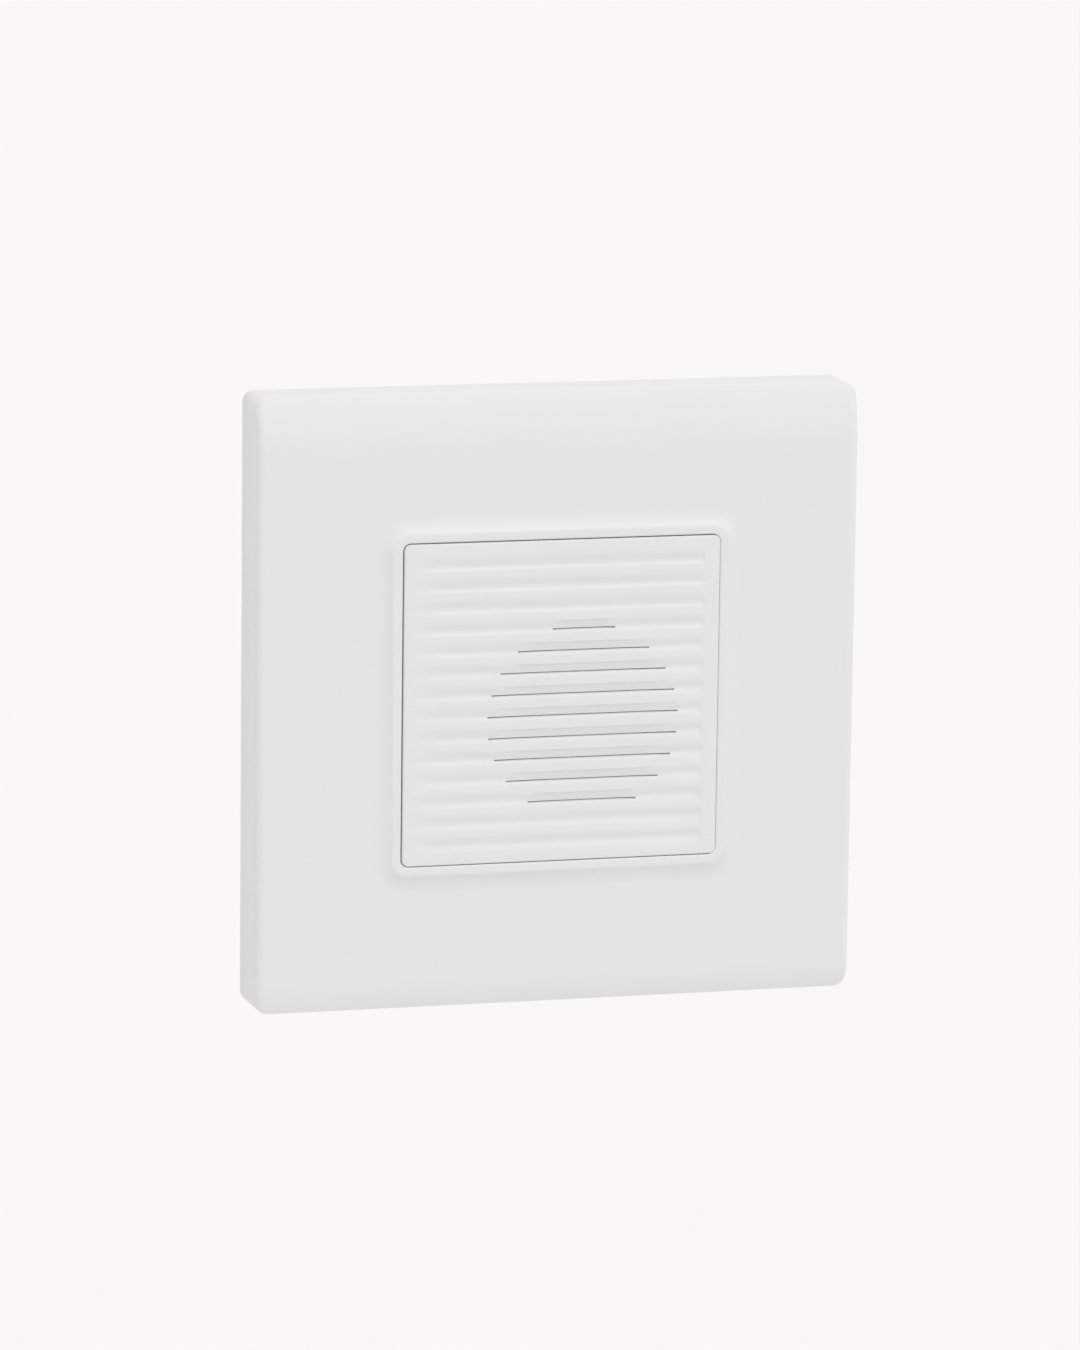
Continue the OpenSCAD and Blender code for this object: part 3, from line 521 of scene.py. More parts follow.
RUBBED, DULLED = 0.1, 0.12


def plated(name, colour, roughness, mottle=0.06, brushing=None):
    """Metal with a soft mottle, an uneven sheen and, where it was rolled or turned, fine scratches."""
    material, tree, shader, place = finish(name)
    tone = ranged(tree, cloud(tree, place, scale=900.0, detail=3.0), 0.0, 1.0)
    rub = cloud(tree, place, scale=2500.0, detail=3.0, stretch=brushing)
    fed(tree, shader, {
        "Base Color": mottled(tree, tone, colour, 1 - mottle, 1 + mottle),
        "Metallic": 1.0,
        "Roughness": ranged(tree, rub, roughness - RUBBED, roughness + DULLED),
        "Normal": relief(tree, rub, height=0.000006),
    })
    return material


def dress(material, *names):
    """Gives a finish to CAD pieces whose shape is right."""
    for name in names:
        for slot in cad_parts[name].material_slots:
            slot.material = material


def growth(name, sizes):
    """Starts a node tree with one named input for each size."""
    tree = bpy.data.node_groups.new(name, "GeometryNodeTree")
    tree.interface.new_socket("Geometry", in_out="OUTPUT", socket_type="NodeSocketGeometry")
    for key, value in sizes.items():
        kind = "NodeSocketInt" if isinstance(value, int) else "NodeSocketFloat"
        tree.interface.new_socket(key, in_out="INPUT", socket_type=kind)
    sockets = tree.nodes.new("NodeGroupInput").outputs
    return tree, {key: Measure(tree, sockets[key]) for key in sizes}


def grown(tree, geometry, sizes, material, name):
    """Ends a tree and turns what it grows into a new mould, in millimetres."""
    real = step(tree, "GeometryNodeRealizeInstances", geometry)
    step(tree, "NodeGroupOutput", step(tree, "GeometryNodeSetMaterial", real, given={"Material": material}))
    seed = bpy.data.objects.new(name, bpy.data.meshes.new(name + "_seed"))
    bpy.context.scene.collection.objects.link(seed)
    modifier = seed.modifiers.new(name, "NODES")
    modifier.node_group = tree
    for item in tree.interface.items_tree:
        if item.in_out == "INPUT":
            modifier[item.identifier] = sizes[item.name]
    return recast(seed)


def parts(tree, vector):
    """The three coordinates of a place or a direction."""
    return [Measure(tree, output) for output in step(tree, "ShaderNodeSeparateXYZ", vector).outputs]


def point(tree, x, y, z):
    """The place with these three coordinates."""
    return step(tree, "ShaderNodeCombineXYZ", x, y, z)


def passed(value, start, count):
    """How much of a run of rows or columns lies before this one, from 0 to 1."""
    return ((value - start) / count).clamped()


def threaded_screws(name, sizes, crossed):
    """Tree of like screws on a ring, each turned from one section, threaded and cut for the driver."""
    tree, size = growth(name, sizes)
    head, edge, core, tip_radius = (size[key] for key in ("Head radius", "Head edge", "Core", "Tip radius"))
    head_height, pitch = size["Head height"], size["Thread pitch"]
    threaded = size["Length"] - size["Neck"] - size["Tip"]
    thread_rows = (math.ceil(threaded / pitch) + 1.0) * TURN_ROWS
    thread_start = HEAD_ROWS + PLAIN_ROWS
    thread_end = thread_rows + thread_start
    rows = thread_end + 2.0
    grid = step(tree, "GeometryNodeMeshGrid", float(AROUND), rows, AROUND + 1, rows + 1.0)
    grid_x, grid_y, _ = parts(tree, step(tree, "GeometryNodeInputPosition"))
    round_share = grid_x / AROUND + 0.5
    row = rows * 0.5 - grid_y

    # Rows: top of the head, its round edge, its side, its underside, plain neck, thread, tip, end.
    # The top, the side, the underside and the neck take one row each.
    top = passed(row, 0.0, 1.0)
    bend = passed(row, 1.0, HEAD_ROWS) * (math.pi / 2)
    side, under, neck = (passed(row, HEAD_ROWS + number, 1.0) for number in (1.0, 2.0, 3.0))
    tip, end = passed(row, thread_end, 1.0), passed(row, thread_end + 1.0, 1.0)

    # The thread's rows follow the helix, so that each turn meets the next one at the seam
    turned = (row - thread_start).most(0.0).least(thread_rows)
    run = (turned / TURN_ROWS - round_share) * pitch
    drop = run.most(0.0).least(threaded)
    off_crest = abs(turned % TURN_ROWS - TURN_ROWS / 2)
    crest = (1.0 - off_crest * CREST_FALL).most(0.0)
    fade = passed(run, 0.0, pitch) * passed(threaded - run, 0.0, pitch)
    crest = crest * fade * size["Thread"]

    radius = top * (head - edge) + bend.sine() * edge - under * (head - core)
    radius = radius - tip * (core - tip_radius) - end * tip_radius + crest
    height = head_height - edge * (1.0 - bend.cosine()) - side * (head_height - edge)
    height = height - neck * size["Neck"] - drop - tip * size["Tip"]
    angle = round_share * (2 * math.pi)
    place = point(tree, radius * angle.cosine(), radius * angle.sine(), height)
    blank = step(tree, "GeometryNodeSetPosition", grid, True, place)
    screw = step(tree, "GeometryNodeMergeByDistance", blank, given={"Distance": SEAM})
    width, across, deep = size["Slot width"], head * 4.0, size["Slot depth"] * 2.0
    for cut in ((across, width), (width, across))[:2 if crossed else 1]:
        blade = step(tree, "GeometryNodeMeshCube", point(tree, *cut, deep))
        lift = point(tree, 0.0, 0.0, head_height)
        raised = step(tree, "GeometryNodeTransform", given={"Geometry": blade, "Translation": lift})
        screw = step(
            tree, "GeometryNodeMeshBoolean", given={"Mesh 1": screw, "Mesh 2": raised},
            operation="DIFFERENCE", solver="EXACT",
        )

    index = Measure(tree, step(tree, "GeometryNodeInputIndex").outputs[0])
    bearing = size["Ring start"] + index * size["Ring step"]
    seat_x = size["Middle x"] + size["Ring"] * bearing.cosine()
    seat_z = size["Middle z"] + size["Ring"] * bearing.sine()
    seat = point(tree, seat_x, size["Seat depth"], seat_z)
    points = step(tree, "GeometryNodePoints", size["Screws"])
    seats = step(tree, "GeometryNodeSetPosition", points, True, seat)
    turn = point(tree, size["Tilt"], index * size["Driven"], 0.0)
    given = {"Points": seats, "Instance": screw, "Rotation": turn}
    return tree, step(tree, "GeometryNodeInstanceOnPoints", given=given)


def screws(node, sizes, body, crossed=True):
    """Puts threaded screws in the place of a node's plain ones."""
    name = node + "_threaded"
    tree, like_screws = threaded_screws(name, sizes, crossed)
    made = piece(name, grown(tree, like_screws, sizes, zinc, name), zinc, sharp=30.0)
    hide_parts(node)
    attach(made, body)


brass = plated("rolled_brass", BRASS, 0.3, brushing=(1.0, 0.12, 1.0))
zinc = plated("zinc_plated_steel", ZINC, 0.32, mottle=0.05)
dress(brass, "contact_bar_left", "contact_bar_right", "terminal_cage_left", "terminal_cage_right")
left_screw = TERMINAL_SCREW | {"Middle x": -TERMINAL_X}
screws("terminal_screw_left", left_screw, "screw_left", crossed=False)
screws("terminal_screw_right", TERMINAL_SCREW, "screw_right", crossed=False)

# Circuit board
# Glass laminate under a green lacquer that shows the tracks as a faint relief, with tinned pads. Four
# screws hold it to the bosses, and the contact bars' tails are soldered in its slots.
LACQUER, LACQUER_TRACK = (0.016, 0.120, 0.055), (0.040, 0.200, 0.090)
TINNED = (0.66, 0.67, 0.68)
TRACK_PITCH = 0.00254
PAD_SPACING, PAD_RADIUS, PAD_SCATTER = 0.0051, 0.0006, 0.6
# A wave texture of scale 1 turns by this many radians in a metre
WAVE_RADIANS = 20.0
BOARD_SCREW = {
    "Screws": 4, "Ring": BOSS_AT * math.sqrt(2), "Ring start": math.pi / 4, "Ring step": math.pi / 2,
    "Middle x": 0.0, "Seat depth": 2.4, "Middle z": 0.0, "Tilt": math.pi / 2, "Driven": 0.7,
    "Head radius": 1.9, "Head height": 1.3, "Head edge": 0.7, "Slot width": 0.5, "Slot depth": 0.65,
    "Length": 7.6, "Neck": 1.6, "Tip": 1.3, "Core": 0.6, "Tip radius": 0.12,
    "Thread": 0.25, "Thread pitch": 0.8,
}


def stripes(tree, place, axis, pitch, kind="BANDS"):
    """Even stripes across an axis or rings round it, from 0 to 1, with their pitch in metres."""
    wave = step(
        tree, "ShaderNodeTexWave", given={"Vector": place, "Scale": 2 * math.pi / WAVE_RADIANS / pitch},
        wave_type=kind, bands_direction=axis, rings_direction=axis,
    )
    return Measure(tree, wave.outputs["Fac"])


def lacquered_board():
    """Green lacquer over tracks that run up and across in patches, with tinned pads between them."""
    material, tree, shader, place = finish("green_lacquered_laminate")
    patch = cloud(tree, place, scale=110.0, detail=0.0) > 0.5
    across = stripes(tree, place, "X", TRACK_PITCH) * patch
    upward = stripes(tree, place, "Z", TRACK_PITCH) * (1.0 - patch)
    track = ranged(tree, across + upward, 0.0, 1.0, start=0.86, end=0.9)
    x, _, z = parts(tree, place)
    flat = {"Vector": point(tree, x, z, 0.0), "Scale": 1 / PAD_SPACING, "Randomness": PAD_SCATTER}
    cells = step(tree, "ShaderNodeTexVoronoi", given=flat, voronoi_dimensions="2D")
    pad = Measure(tree, cells.outputs["Distance"]) < PAD_RADIUS / PAD_SPACING
    fed(tree, shader, {
        "Base Color": tinted(tree, pad, tinted(tree, track, LACQUER, LACQUER_TRACK), TINNED),
        "Metallic": pad,
        "Roughness": ranged(tree, cloud(tree, place, scale=1200.0), low=0.3, high=0.42),
        "Normal": relief(tree, track.most(pad), height=0.00003),
    })
    return material


dress(lacquered_board(), "circuit_board")
screws("board_screws", BOARD_SCREW, "base")

# Components on the board
# Boxed film capacitor, sleeved smoothing capacitor, rectifier and chip in moulded epoxy, dipped varistor
# and banded fuse resistor on tinned legs, and the trimmer with its white spindle.
YELLOW, SLEEVE, EPOXY = (0.72, 0.47, 0.06), (0.020, 0.040, 0.150), (0.018, 0.018, 0.020)
TRIMMER_BLUE, SPINDLE_WHITE = (0.05, 0.12, 0.42), (0.74, 0.735, 0.72)
EPOXY_SHEEN = 0.05
DIP_BLUE, TAN = (0.06, 0.16, 0.36), (0.60, 0.42, 0.22)
BROWN, BLACK, GOLD = (0.14, 0.06, 0.03), (0.02, 0.02, 0.02), (0.45, 0.30, 0.08)
BANDS = (
    (0.0, TAN), (0.16, BROWN), (0.26, TAN), (0.36, BLACK), (0.46, TAN),
    (0.56, BROWN), (0.66, TAN), (0.82, GOLD), (0.92, TAN),
)
CHIP_Z, CHIP_HALF = 0.009, 0.00205
VARISTOR_Y, VARISTOR_HALF = 0.009, 0.0036
RESISTOR_HALF = 0.0036


def legged(name, colour, roughness, axis, middle, limit):
    """Moulded or dipped body whose tinned legs stand out past a distance from a middle plane."""
    material, tree, shader, place = finish(name)
    leg = abs(parts(tree, place)["XYZ".index(axis)] - middle) > limit
    tone = ranged(tree, cloud(tree, place, scale=1500.0), 0.0, 1.0)
    sheen = cloud(tree, place, scale=3000.0)
    fed(tree, shader, {
        "Base Color": tinted(tree, leg, mottled(tree, tone, colour, 0.9, 1.1), TINNED),
        "Metallic": leg,
        "Roughness": ranged(tree, sheen, roughness - EPOXY_SHEEN, roughness + EPOXY_SHEEN),
        "Normal": relief(tree, cloud(tree, place, scale=6000.0), height=0.000008),
    })
    return material


def banded_resistor():
    """Tan enamel with four bands and tinned legs."""
    material, tree, shader, place = finish("tan_banded_enamel")
    x = parts(tree, place)[0]
    along = ranged(tree, x, 0.0, 1.0, start=-RESISTOR_HALF, end=RESISTOR_HALF)
    ramp = step(tree, "ShaderNodeValToRGB", given={"Fac": along})
    ramp.color_ramp.interpolation = "CONSTANT"
    for number, (at, colour) in enumerate(BANDS):
        band = ramp.color_ramp.elements[number] if number < 2 else ramp.color_ramp.elements.new(at)
        band.position = at
        band.color = (*colour, 1)
    leg = abs(x) > RESISTOR_HALF
    fed(tree, shader, {
        "Base Color": tinted(tree, leg, ramp.outputs["Color"], TINNED),
        "Metallic": leg,
        "Roughness": ranged(tree, cloud(tree, place, scale=2500.0), low=0.32, high=0.48),
    })
    return material


dress(moulded("yellow_capacitor_box", YELLOW, 0.45, mottle=0.05), "film_capacitor")
dress(moulded("blue_shrunk_sleeve", SLEEVE, 0.25, mottle=0.08), "smoothing_capacitor")
dress(moulded("black_epoxy", EPOXY, 0.55, mottle=0.15, grain=0.000015), "bridge_rectifier")
dress(legged("black_chip_epoxy", EPOXY, 0.55, "Z", CHIP_Z, CHIP_HALF), "melody_chip")
dress(legged("blue_dipped_lacquer", DIP_BLUE, 0.35, "Y", VARISTOR_Y, VARISTOR_HALF), "varistor")
dress(banded_resistor(), "fuse_resistor")
dress(moulded("blue_trimmer_body", TRIMMER_BLUE, 0.45, mottle=0.05), "trimmer_body")
dress(moulded("white_spindle_plastic", SPINDLE_WHITE, 0.4, mottle=0.02), "volume_spindle")

# Loudspeaker
# Small pressed speaker that a clamp ring holds against the posts of the grille. Dark cloth and a foam
# ring lie in front of it, and its two leads run from the tag strip to the board.
CLOTH, CLOTH_LIGHT, THREAD_PITCH = (0.010, 0.010, 0.011), (0.045, 0.045, 0.047), 0.0004
FOAM, FOAM_CELLS = (0.030, 0.030, 0.032), 2600.0
FILM, FILM_RING_PITCH = (0.62, 0.55, 0.38), 0.0009
ENAMEL_WIRE, WIRE_PITCH = (0.50, 0.17, 0.06), 0.00012
NICKEL = (0.58, 0.57, 0.54)
PAPER_BROWN, LEAD_RED = (0.19, 0.085, 0.030), (0.45, 0.018, 0.014)
SPEAKER_X, SPEAKER_Z = 3.3, -3.0
CLAMP_SCREWS, CLAMP_RING, CLAMP_START, CLAMP_STEP = 3, 15.9, math.radians(80), math.radians(120)
CLAMP_SCREW = {
    "Screws": CLAMP_SCREWS, "Ring": CLAMP_RING, "Ring start": CLAMP_START, "Ring step": CLAMP_STEP,
    "Middle x": SPEAKER_X, "Seat depth": -5.95, "Middle z": SPEAKER_Z, "Tilt": -math.pi / 2, "Driven": 0.7,
    "Head radius": 1.5, "Head height": 0.9, "Head edge": 0.5, "Slot width": 0.4, "Slot depth": 0.45,
    "Length": 2.55, "Neck": 0.9, "Tip": 0.5, "Core": 0.45, "Tip radius": 0.2,
    "Thread": 0.2, "Thread pitch": 0.5,
}


def woven_cloth():
    """Black cloth of plain weave, two crossing sets of threads."""
    material, tree, shader, place = finish("black_woven_cloth")
    threads = stripes(tree, place, "X", THREAD_PITCH) * stripes(tree, place, "Z", THREAD_PITCH)
    fed(tree, shader, {
        "Base Color": tinted(tree, threads, CLOTH, CLOTH_LIGHT),
        "Roughness": ranged(tree, threads, low=0.95, high=0.7, start=0.0, end=1.0),
        "Normal": relief(tree, threads, height=0.00008),
    })
    return material


def open_foam():
    """Black foam with fine open cells."""
    material, tree, shader, place = finish("black_open_foam")
    cells = step(tree, "ShaderNodeTexVoronoi", given={"Vector": place, "Scale": FOAM_CELLS})
    depth = cells.outputs["Distance"]
    fed(tree, shader, {
        "Base Color": mottled(tree, depth, FOAM, 1.5, 0.5),
        "Roughness": 0.95,
        "Normal": relief(tree, depth, height=0.0001),
    })
    return material


def pressed_film():
    """Pale film of the cone, with fine pressed rings round the speaker's axis."""
    material, tree, shader, place = finish("pressed_cone_film")
    centred = {"Vector": place, "Location": (-SPEAKER_X * MM, 0.0, -SPEAKER_Z * MM)}
    rings = stripes(tree, step(tree, "ShaderNodeMapping", given=centred), "Y", FILM_RING_PITCH, "RINGS")
    fed(tree, shader, {
        "Base Color": mottled(tree, rings, FILM, 0.85, 1.12),
        "Roughness": ranged(tree, cloud(tree, place, scale=1800.0), low=0.29, high=0.41),
        "Normal": relief(tree, rings, height=0.00002),
    })
    return material


def wound_wire():
    """Enamelled copper wire wound side by side."""
    material, tree, shader, place = finish("enamelled_copper_wire")
    turns = stripes(tree, place, "Y", WIRE_PITCH)
    fed(tree, shader, {
        "Base Color": mottled(tree, turns, ENAMEL_WIRE, 0.6, 1.0),
        "Metallic": 0.8,
        "Roughness": ranged(tree, cloud(tree, place, scale=2500.0), low=0.24, high=0.4),
        "Normal": relief(tree, turns, height=0.00004),
    })
    return material


dress(woven_cloth(), "dust_gauze")
dress(open_foam(), "speaker_gasket", "cone_surround")
dress(pressed_film(), "speaker_cone")
dress(wound_wire(), "voice_coil")
dress(plated("nickel_plate", NICKEL, 0.25), "speaker_magnet")
dress(zinc, "pole_plate", "magnet_pot", "speaker_basket")
screws("clamp_screws", CLAMP_SCREW, "base")
dress(moulded("brown_paper_laminate", PAPER_BROWN, 0.6, mottle=0.2, grain=0.00002), "speaker_tag_strip")
dress(moulded("red_lead_insulation", LEAD_RED, 0.35, mottle=0.06), "speaker_leads")
dress(grey_plastic, "speaker_clamp")

# Grille cover
# White moulded front of the insert. Its face has fourteen shallow level grooves, and those in front
# of the speaker are slit through along a round field. It snaps over the rear box.
INSERT_HALF, INSERT_CORNER = FLANGE_HALF, FLANGE_CORNER
INSERT_EDGE, INSERT_EDGE_STEPS, INSERT_RIM_EDGE = 0.26, 6, 0.15
INSERT_FACE, INSERT_CEILING, INSERT_RIM = -10.3, -8.7, FLANGE_FACE
INSERT_HOLLOW, INSERT_HOLLOW_CORNER = 20.85, 0.5
INSERT_GROWN, INSERT_SHIFT = (0.11, 0.09), (0.21, -0.14)
INSERT_SUNK, CEILING_SLACK = 0.2, 0.05
POST, POST_END, POST_DRAFT, POST_SIDES = 1.6, -6.95, 0.1, 32
TONGUE_X, TONGUE_HALF, TONGUE_END, TONGUE_EDGE = (18.55, 19.75), 4.0, -1.0, 0.15
BARB, BARB_OUT, BARB_ROOT = 1.5, 0.7, 0.3
BARB_SHY, BARB_LEAD, BARB_BLUNT = 0.1, 0.1, 0.08
WHITE = (0.731, 0.7335, 0.7385)
GROOVES = {
    "Grooves": 14, "Pitch": 3.0, "Top groove": 18.83, "Depth": 0.225, "Slit lip": 0.19,
    "Upper slope": 1.2, "Slit width": 0.22, "Lower slope": 0.6, "Upper flat": 0.6, "Lip run": 2.4,
    "Start raised": 0.23, "Start growth": 0.016, "End raised": 0.1,
    "Floor raised": -0.06, "Floor growth": 0.023,
    "Field half width": 21.4, "Left ramp start": -21.3, "Left ramp": 7.0,
    "Right ramp end": 20.65, "Right ramp": 0.85,
    "Right side": 10.0, "Right side run": 6.0, "Right end lowered": 0.4, "Right start lowered": 0.45,
    "Sound x": SPEAKER_X, "Sound z": SPEAKER_Z, "Sound radius": 13.57,
    "Face depth": INSERT_FACE, "Slit depth": INSERT_CEILING,
}
FLAT_LEAN, EDGE_DROP, LIP_POWER, LIP_GROWTH = 0.08, 0.5, 10.0, 7.0
LOWER_GROOVES = (3.0, 3.0)
LEAST_REACH, FIELD_MARGIN, ROW_SLACK = 4.0, 1.0, 0.01
# Rows of one groove: upper flat, upper slope, slit, lower slope, lower flat
SECTION_ROWS = (2, 10, 1, 6, 2)
# Columns: plain end, left ramp, left run, lip, slit, lip, right run, right ramp, plain end
STAGE_COLUMNS = (1, 12, 3, 4, 16, 4, 3, 4, 1)


def softened(run):
    """A run from 0 to 1 that starts and ends gently."""
    return run * run * (3.0 - run * 2.0)


def grooved_face():
    """Tree of the grooved face: a grid whose rows follow the section and whose columns follow the slits."""
    tree, size = growth("grooved_face", GROOVES)
    rows_per, columns = sum(SECTION_ROWS), sum(STAGE_COLUMNS)
    rows = size["Grooves"] * rows_per
    grid = step(tree, "GeometryNodeMeshGrid", float(columns), rows, columns + 1, rows + 1.0)
    grid_x, grid_y, _ = parts(tree, step(tree, "GeometryNodeInputPosition"))
    column, row = grid_x + columns / 2, rows * 0.5 - grid_y
    groove = math.floor((row + ROW_SLACK) / rows_per).least(size["Grooves"] - 1.0)
    inner = row - groove * rows_per
    middle = size["Top groove"] - groove * size["Pitch"]

    # Columns are spread between places that follow the round field
    off = middle - size["Sound z"]
    reach = size["Sound radius"] * size["Sound radius"] - off * off
    in_field = reach > 0.0
    half = reach.most(LEAST_REACH).root()
    slit_left, slit_right = size["Sound x"] - half, size["Sound x"] + half
    places = [
        size["Field half width"] * -1.0,
        size["Left ramp start"],
        size["Left ramp start"] + size["Left ramp"],
        slit_left - size["Lip run"],
        slit_left,
        slit_right,
        slit_right + size["Lip run"],
        size["Right ramp end"] - size["Right ramp"],
        size["Right ramp end"],
        size["Field half width"],
    ]
    across, runs, start = places[0], [], 0
    for count, low, high in zip(STAGE_COLUMNS, places, places[1:]):
        runs.append(passed(column, start, count))
        across = across + runs[-1] * (high - low)
        start += count
    _, left_ramp, _, left_lip, slit_run, right_lip, _, right_ramp, _ = runs
    ramp = (1.0 - (1.0 - left_ramp) ** 2.0) * softened(1.0 - right_ramp)
    near_slit = softened(left_lip) * softened(1.0 - right_lip) * in_field
    plain = 1.0 - near_slit

    # Rows are spread over the section, which changes from groove to groove and towards the right
    spans, start = [], 0
    for count in SECTION_ROWS:
        spans.append(passed(inner, start, count))
        start += count
    _, upper, slit, lower, flat = spans
    right_side = passed(across, size["Right side"], size["Right side run"])
    start_up = plain * (groove * size["Start growth"] + size["Start raised"])
    start_up = start_up * (1.0 - right_side * size["Right start lowered"])
    floor_up = plain * (groove * size["Floor growth"] + size["Floor raised"])
    lowered = right_side * passed(groove, *LOWER_GROOVES) * size["Right end lowered"]
    end_up = plain * (size["End raised"] - lowered)
    slit_width = size["Slit width"]
    lower_slope = size["Lower slope"] + floor_up - end_up
    upper_slope = size["Upper slope"] + start_up - floor_up
    heights = [size["Upper flat"] - start_up, upper_slope, slit_width, lower_slope]
    lower_flat = size["Pitch"]
    for part in heights:
        lower_flat = lower_flat - part
    height = middle + (slit_width * 0.5 + size["Upper slope"] + size["Upper flat"])
    for span, part in zip(spans, heights + [lower_flat]):
        height = height - span * part

    # Away from the slits the floor rises softly; along them it ends in a rounded edge
    climbed = (slit * slit_width + lower * lower_slope) / (slit_width + lower_slope)
    soft_rise = (1.0 - softened(climbed)) * (1.0 - FLAT_LEAN) + (1.0 - flat) * FLAT_LEAN
    edge_rise = (1.0 - lower) ** 2.0 * (1.0 - slit * (1.0 - EDGE_DROP))
    hollow = softened(upper).least(soft_rise * plain + edge_rise * near_slit)
    lip = (1.0 - (1.0 - upper) ** LIP_POWER) * (1.0 - slit)
    along_slit = (slit_run * (1.0 - slit_run) * LIP_GROWTH).clamped() * in_field
    depth = size["Face depth"] + (hollow * ramp * size["Depth"] + lip * along_slit * size["Slit lip"])

    # The slit faces go before the grid takes its shape, while rows and columns are still whole numbers
    in_row = (inner > sum(SECTION_ROWS[:2])) * (inner < sum(SECTION_ROWS[:3]))
    in_column = (column > sum(STAGE_COLUMNS[:4])) * (column < sum(STAGE_COLUMNS[:5]))
    opened = step(tree, "GeometryNodeDeleteGeometry", grid, in_row * in_column * in_field, domain="FACE")
    shaped = step(tree, "GeometryNodeSetPosition", opened, True, point(tree, across, depth, height))

    # The slits' edges run back through the wall
    neighbours = Measure(tree, step(tree, "GeometryNodeInputMeshEdgeNeighbors").outputs[0])
    x, _, z = parts(tree, step(tree, "GeometryNodeInputPosition"))
    from_axis = (x - size["Sound x"]) ** 2.0 + (z - size["Sound z"]) ** 2.0
    rim = (neighbours < 1.5) * (from_axis < (size["Sound radius"] + FIELD_MARGIN) ** 2.0)
    walls = step(tree, "GeometryNodeExtrudeMesh", shaped, rim, (0, 1, 0), 1.0, mode="EDGES")
    back = point(tree, x, size["Slit depth"], z)
    return tree, step(tree, "GeometryNodeSetPosition", walls, walls.outputs["Top"], back)


def insert_outline(inset):
    """The insert's outline, drawn in by a distance."""
    half_x, half_z = (INSERT_HALF + grown_by - inset for grown_by in INSERT_GROWN)
    return rounded_outline(half_x, half_z, INSERT_CORNER - inset, *INSERT_SHIFT)


white_plastic = moulded("white_moulded_plastic", WHITE, 0.42, mottle=0.006, grain=0.000003)

tree, face = grooved_face()
mould = grown(tree, face, GROOVES, white_plastic, "grooved_face")
bmesh.ops.remove_doubles(mould, verts=mould.verts, dist=WELD)
open_edges = [edge for edge in mould.edges if edge.is_boundary]
limit = INSERT_CEILING - CEILING_SLACK
slit_ends = [edge for edge in open_edges if all(vert.co.y > limit for vert in edge.verts)]
field_edges = [edge for edge in open_edges if all(vert.co.y < limit for vert in edge.verts)]

hollow = square(INSERT_HOLLOW, INSERT_HOLLOW_CORNER)
edge = rounding(INSERT_EDGE, INSERT_EDGE_STEPS)
rows = [(insert_outline(inset), INSERT_FACE + drop) for inset, drop in edge]
rows += [
    (insert_outline(0.0), INSERT_RIM - INSERT_RIM_EDGE),
    (insert_outline(INSERT_RIM_EDGE), INSERT_RIM),
    (hollow, INSERT_RIM),
    (hollow, INSERT_CEILING),
]
loops = [loop_at(mould, outline, depth) for outline, depth in rows]
skin(mould, loops)
fill_between(mould, field_edges + edges_round(mould, loops[0]))
fill_between(mould, slit_ends + edges_round(mould, loops[-1]))
root_depth = INSERT_CEILING - INSERT_SUNK
for number in range(CLAMP_SCREWS):
    turn = CLAMP_START + number * CLAMP_STEP
    x, z = SPEAKER_X + CLAMP_RING * math.cos(turn), SPEAKER_Z + CLAMP_RING * math.sin(turn)
    rod_back(mould, x, z, root_depth, POST_END, POST + POST_DRAFT, POST, POST_SIDES)
for side in (-1, 1):
    low, high = sorted(side * x for x in TONGUE_X)
    bar(mould, (low, root_depth, -TONGUE_HALF), (high, TONGUE_END, TONGUE_HALF), TONGUE_EDGE)
    root, face, tip = (side * (TONGUE_X[1] + out) for out in (-BARB_ROOT, 0.0, BARB_OUT))
    front = TONGUE_END - BARB
    section = ((root, TONGUE_END), (face, TONGUE_END), (tip, front + BARB_LEAD),
               (tip - side * BARB_BLUNT, front), (root, front))
    half = TONGUE_HALF - BARB_SHY
    prism(mould, [[(x, depth, z) for x, depth in section] for z in (-half, half)])
grille_cover = piece("grille_cover_moulding", mould, white_plastic, sharp=28.0)
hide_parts("grille_cover")
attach(grille_cover, "base")

# Cover frame
# White moulded square frame with a raised collar round its window. It is pushed on last, and its
# four lugs grip the support frame, so that it pulls straight off again.
FRAME_CENTRE, FRAME_RIM, FRAME_FACE = 40.5, 2.0, -9.6
SIDE_EDGE, LEVEL_EDGE, EDGE_GUARD, EDGE_STEPS = 1.1, 0.05, 0.05, 8
WALL_CORNER, WALL_EDGE, WALL_EDGE_MIDDLE = 1.55, 0.25, 0.07
UPPER_CROWN, LOWER_CROWN = (33.5, 26.0), (38.6, 11.0)
FACE_LOOPS, FACE_OUT, FACE_IN, FACE_CORNER = 14, 41.0, 33.0, 0.3
WINDOW_CENTRE, WINDOW_CORNER, WINDOW_SHIFT = 21.35, 1.1, (0.13, -0.12)
COLLAR_WIDTH, COLLAR_FACE, COLLAR_EDGE, COLLAR_EDGE_STEPS = 1.2, -10.3, 0.25, 6
BLEND_HOLLOW, BLEND_ROUND, BLEND_START, BLEND_MARGIN = 4.8, 0.9, 0.2, 0.5
HOLLOW_STEPS, ROUND_STEPS = 10, 5
SKIRT_BACK, ROOF, INNER_EDGE = -5.0, -7.8, 0.15
SHELL_CENTRE, SHELL_CORNER = 39.5, 1.2
LUG_HALF, LUG_END, LUG_ROOT, LUG_EDGE = (0.7, 2.5), -0.4, 0.2, 0.25
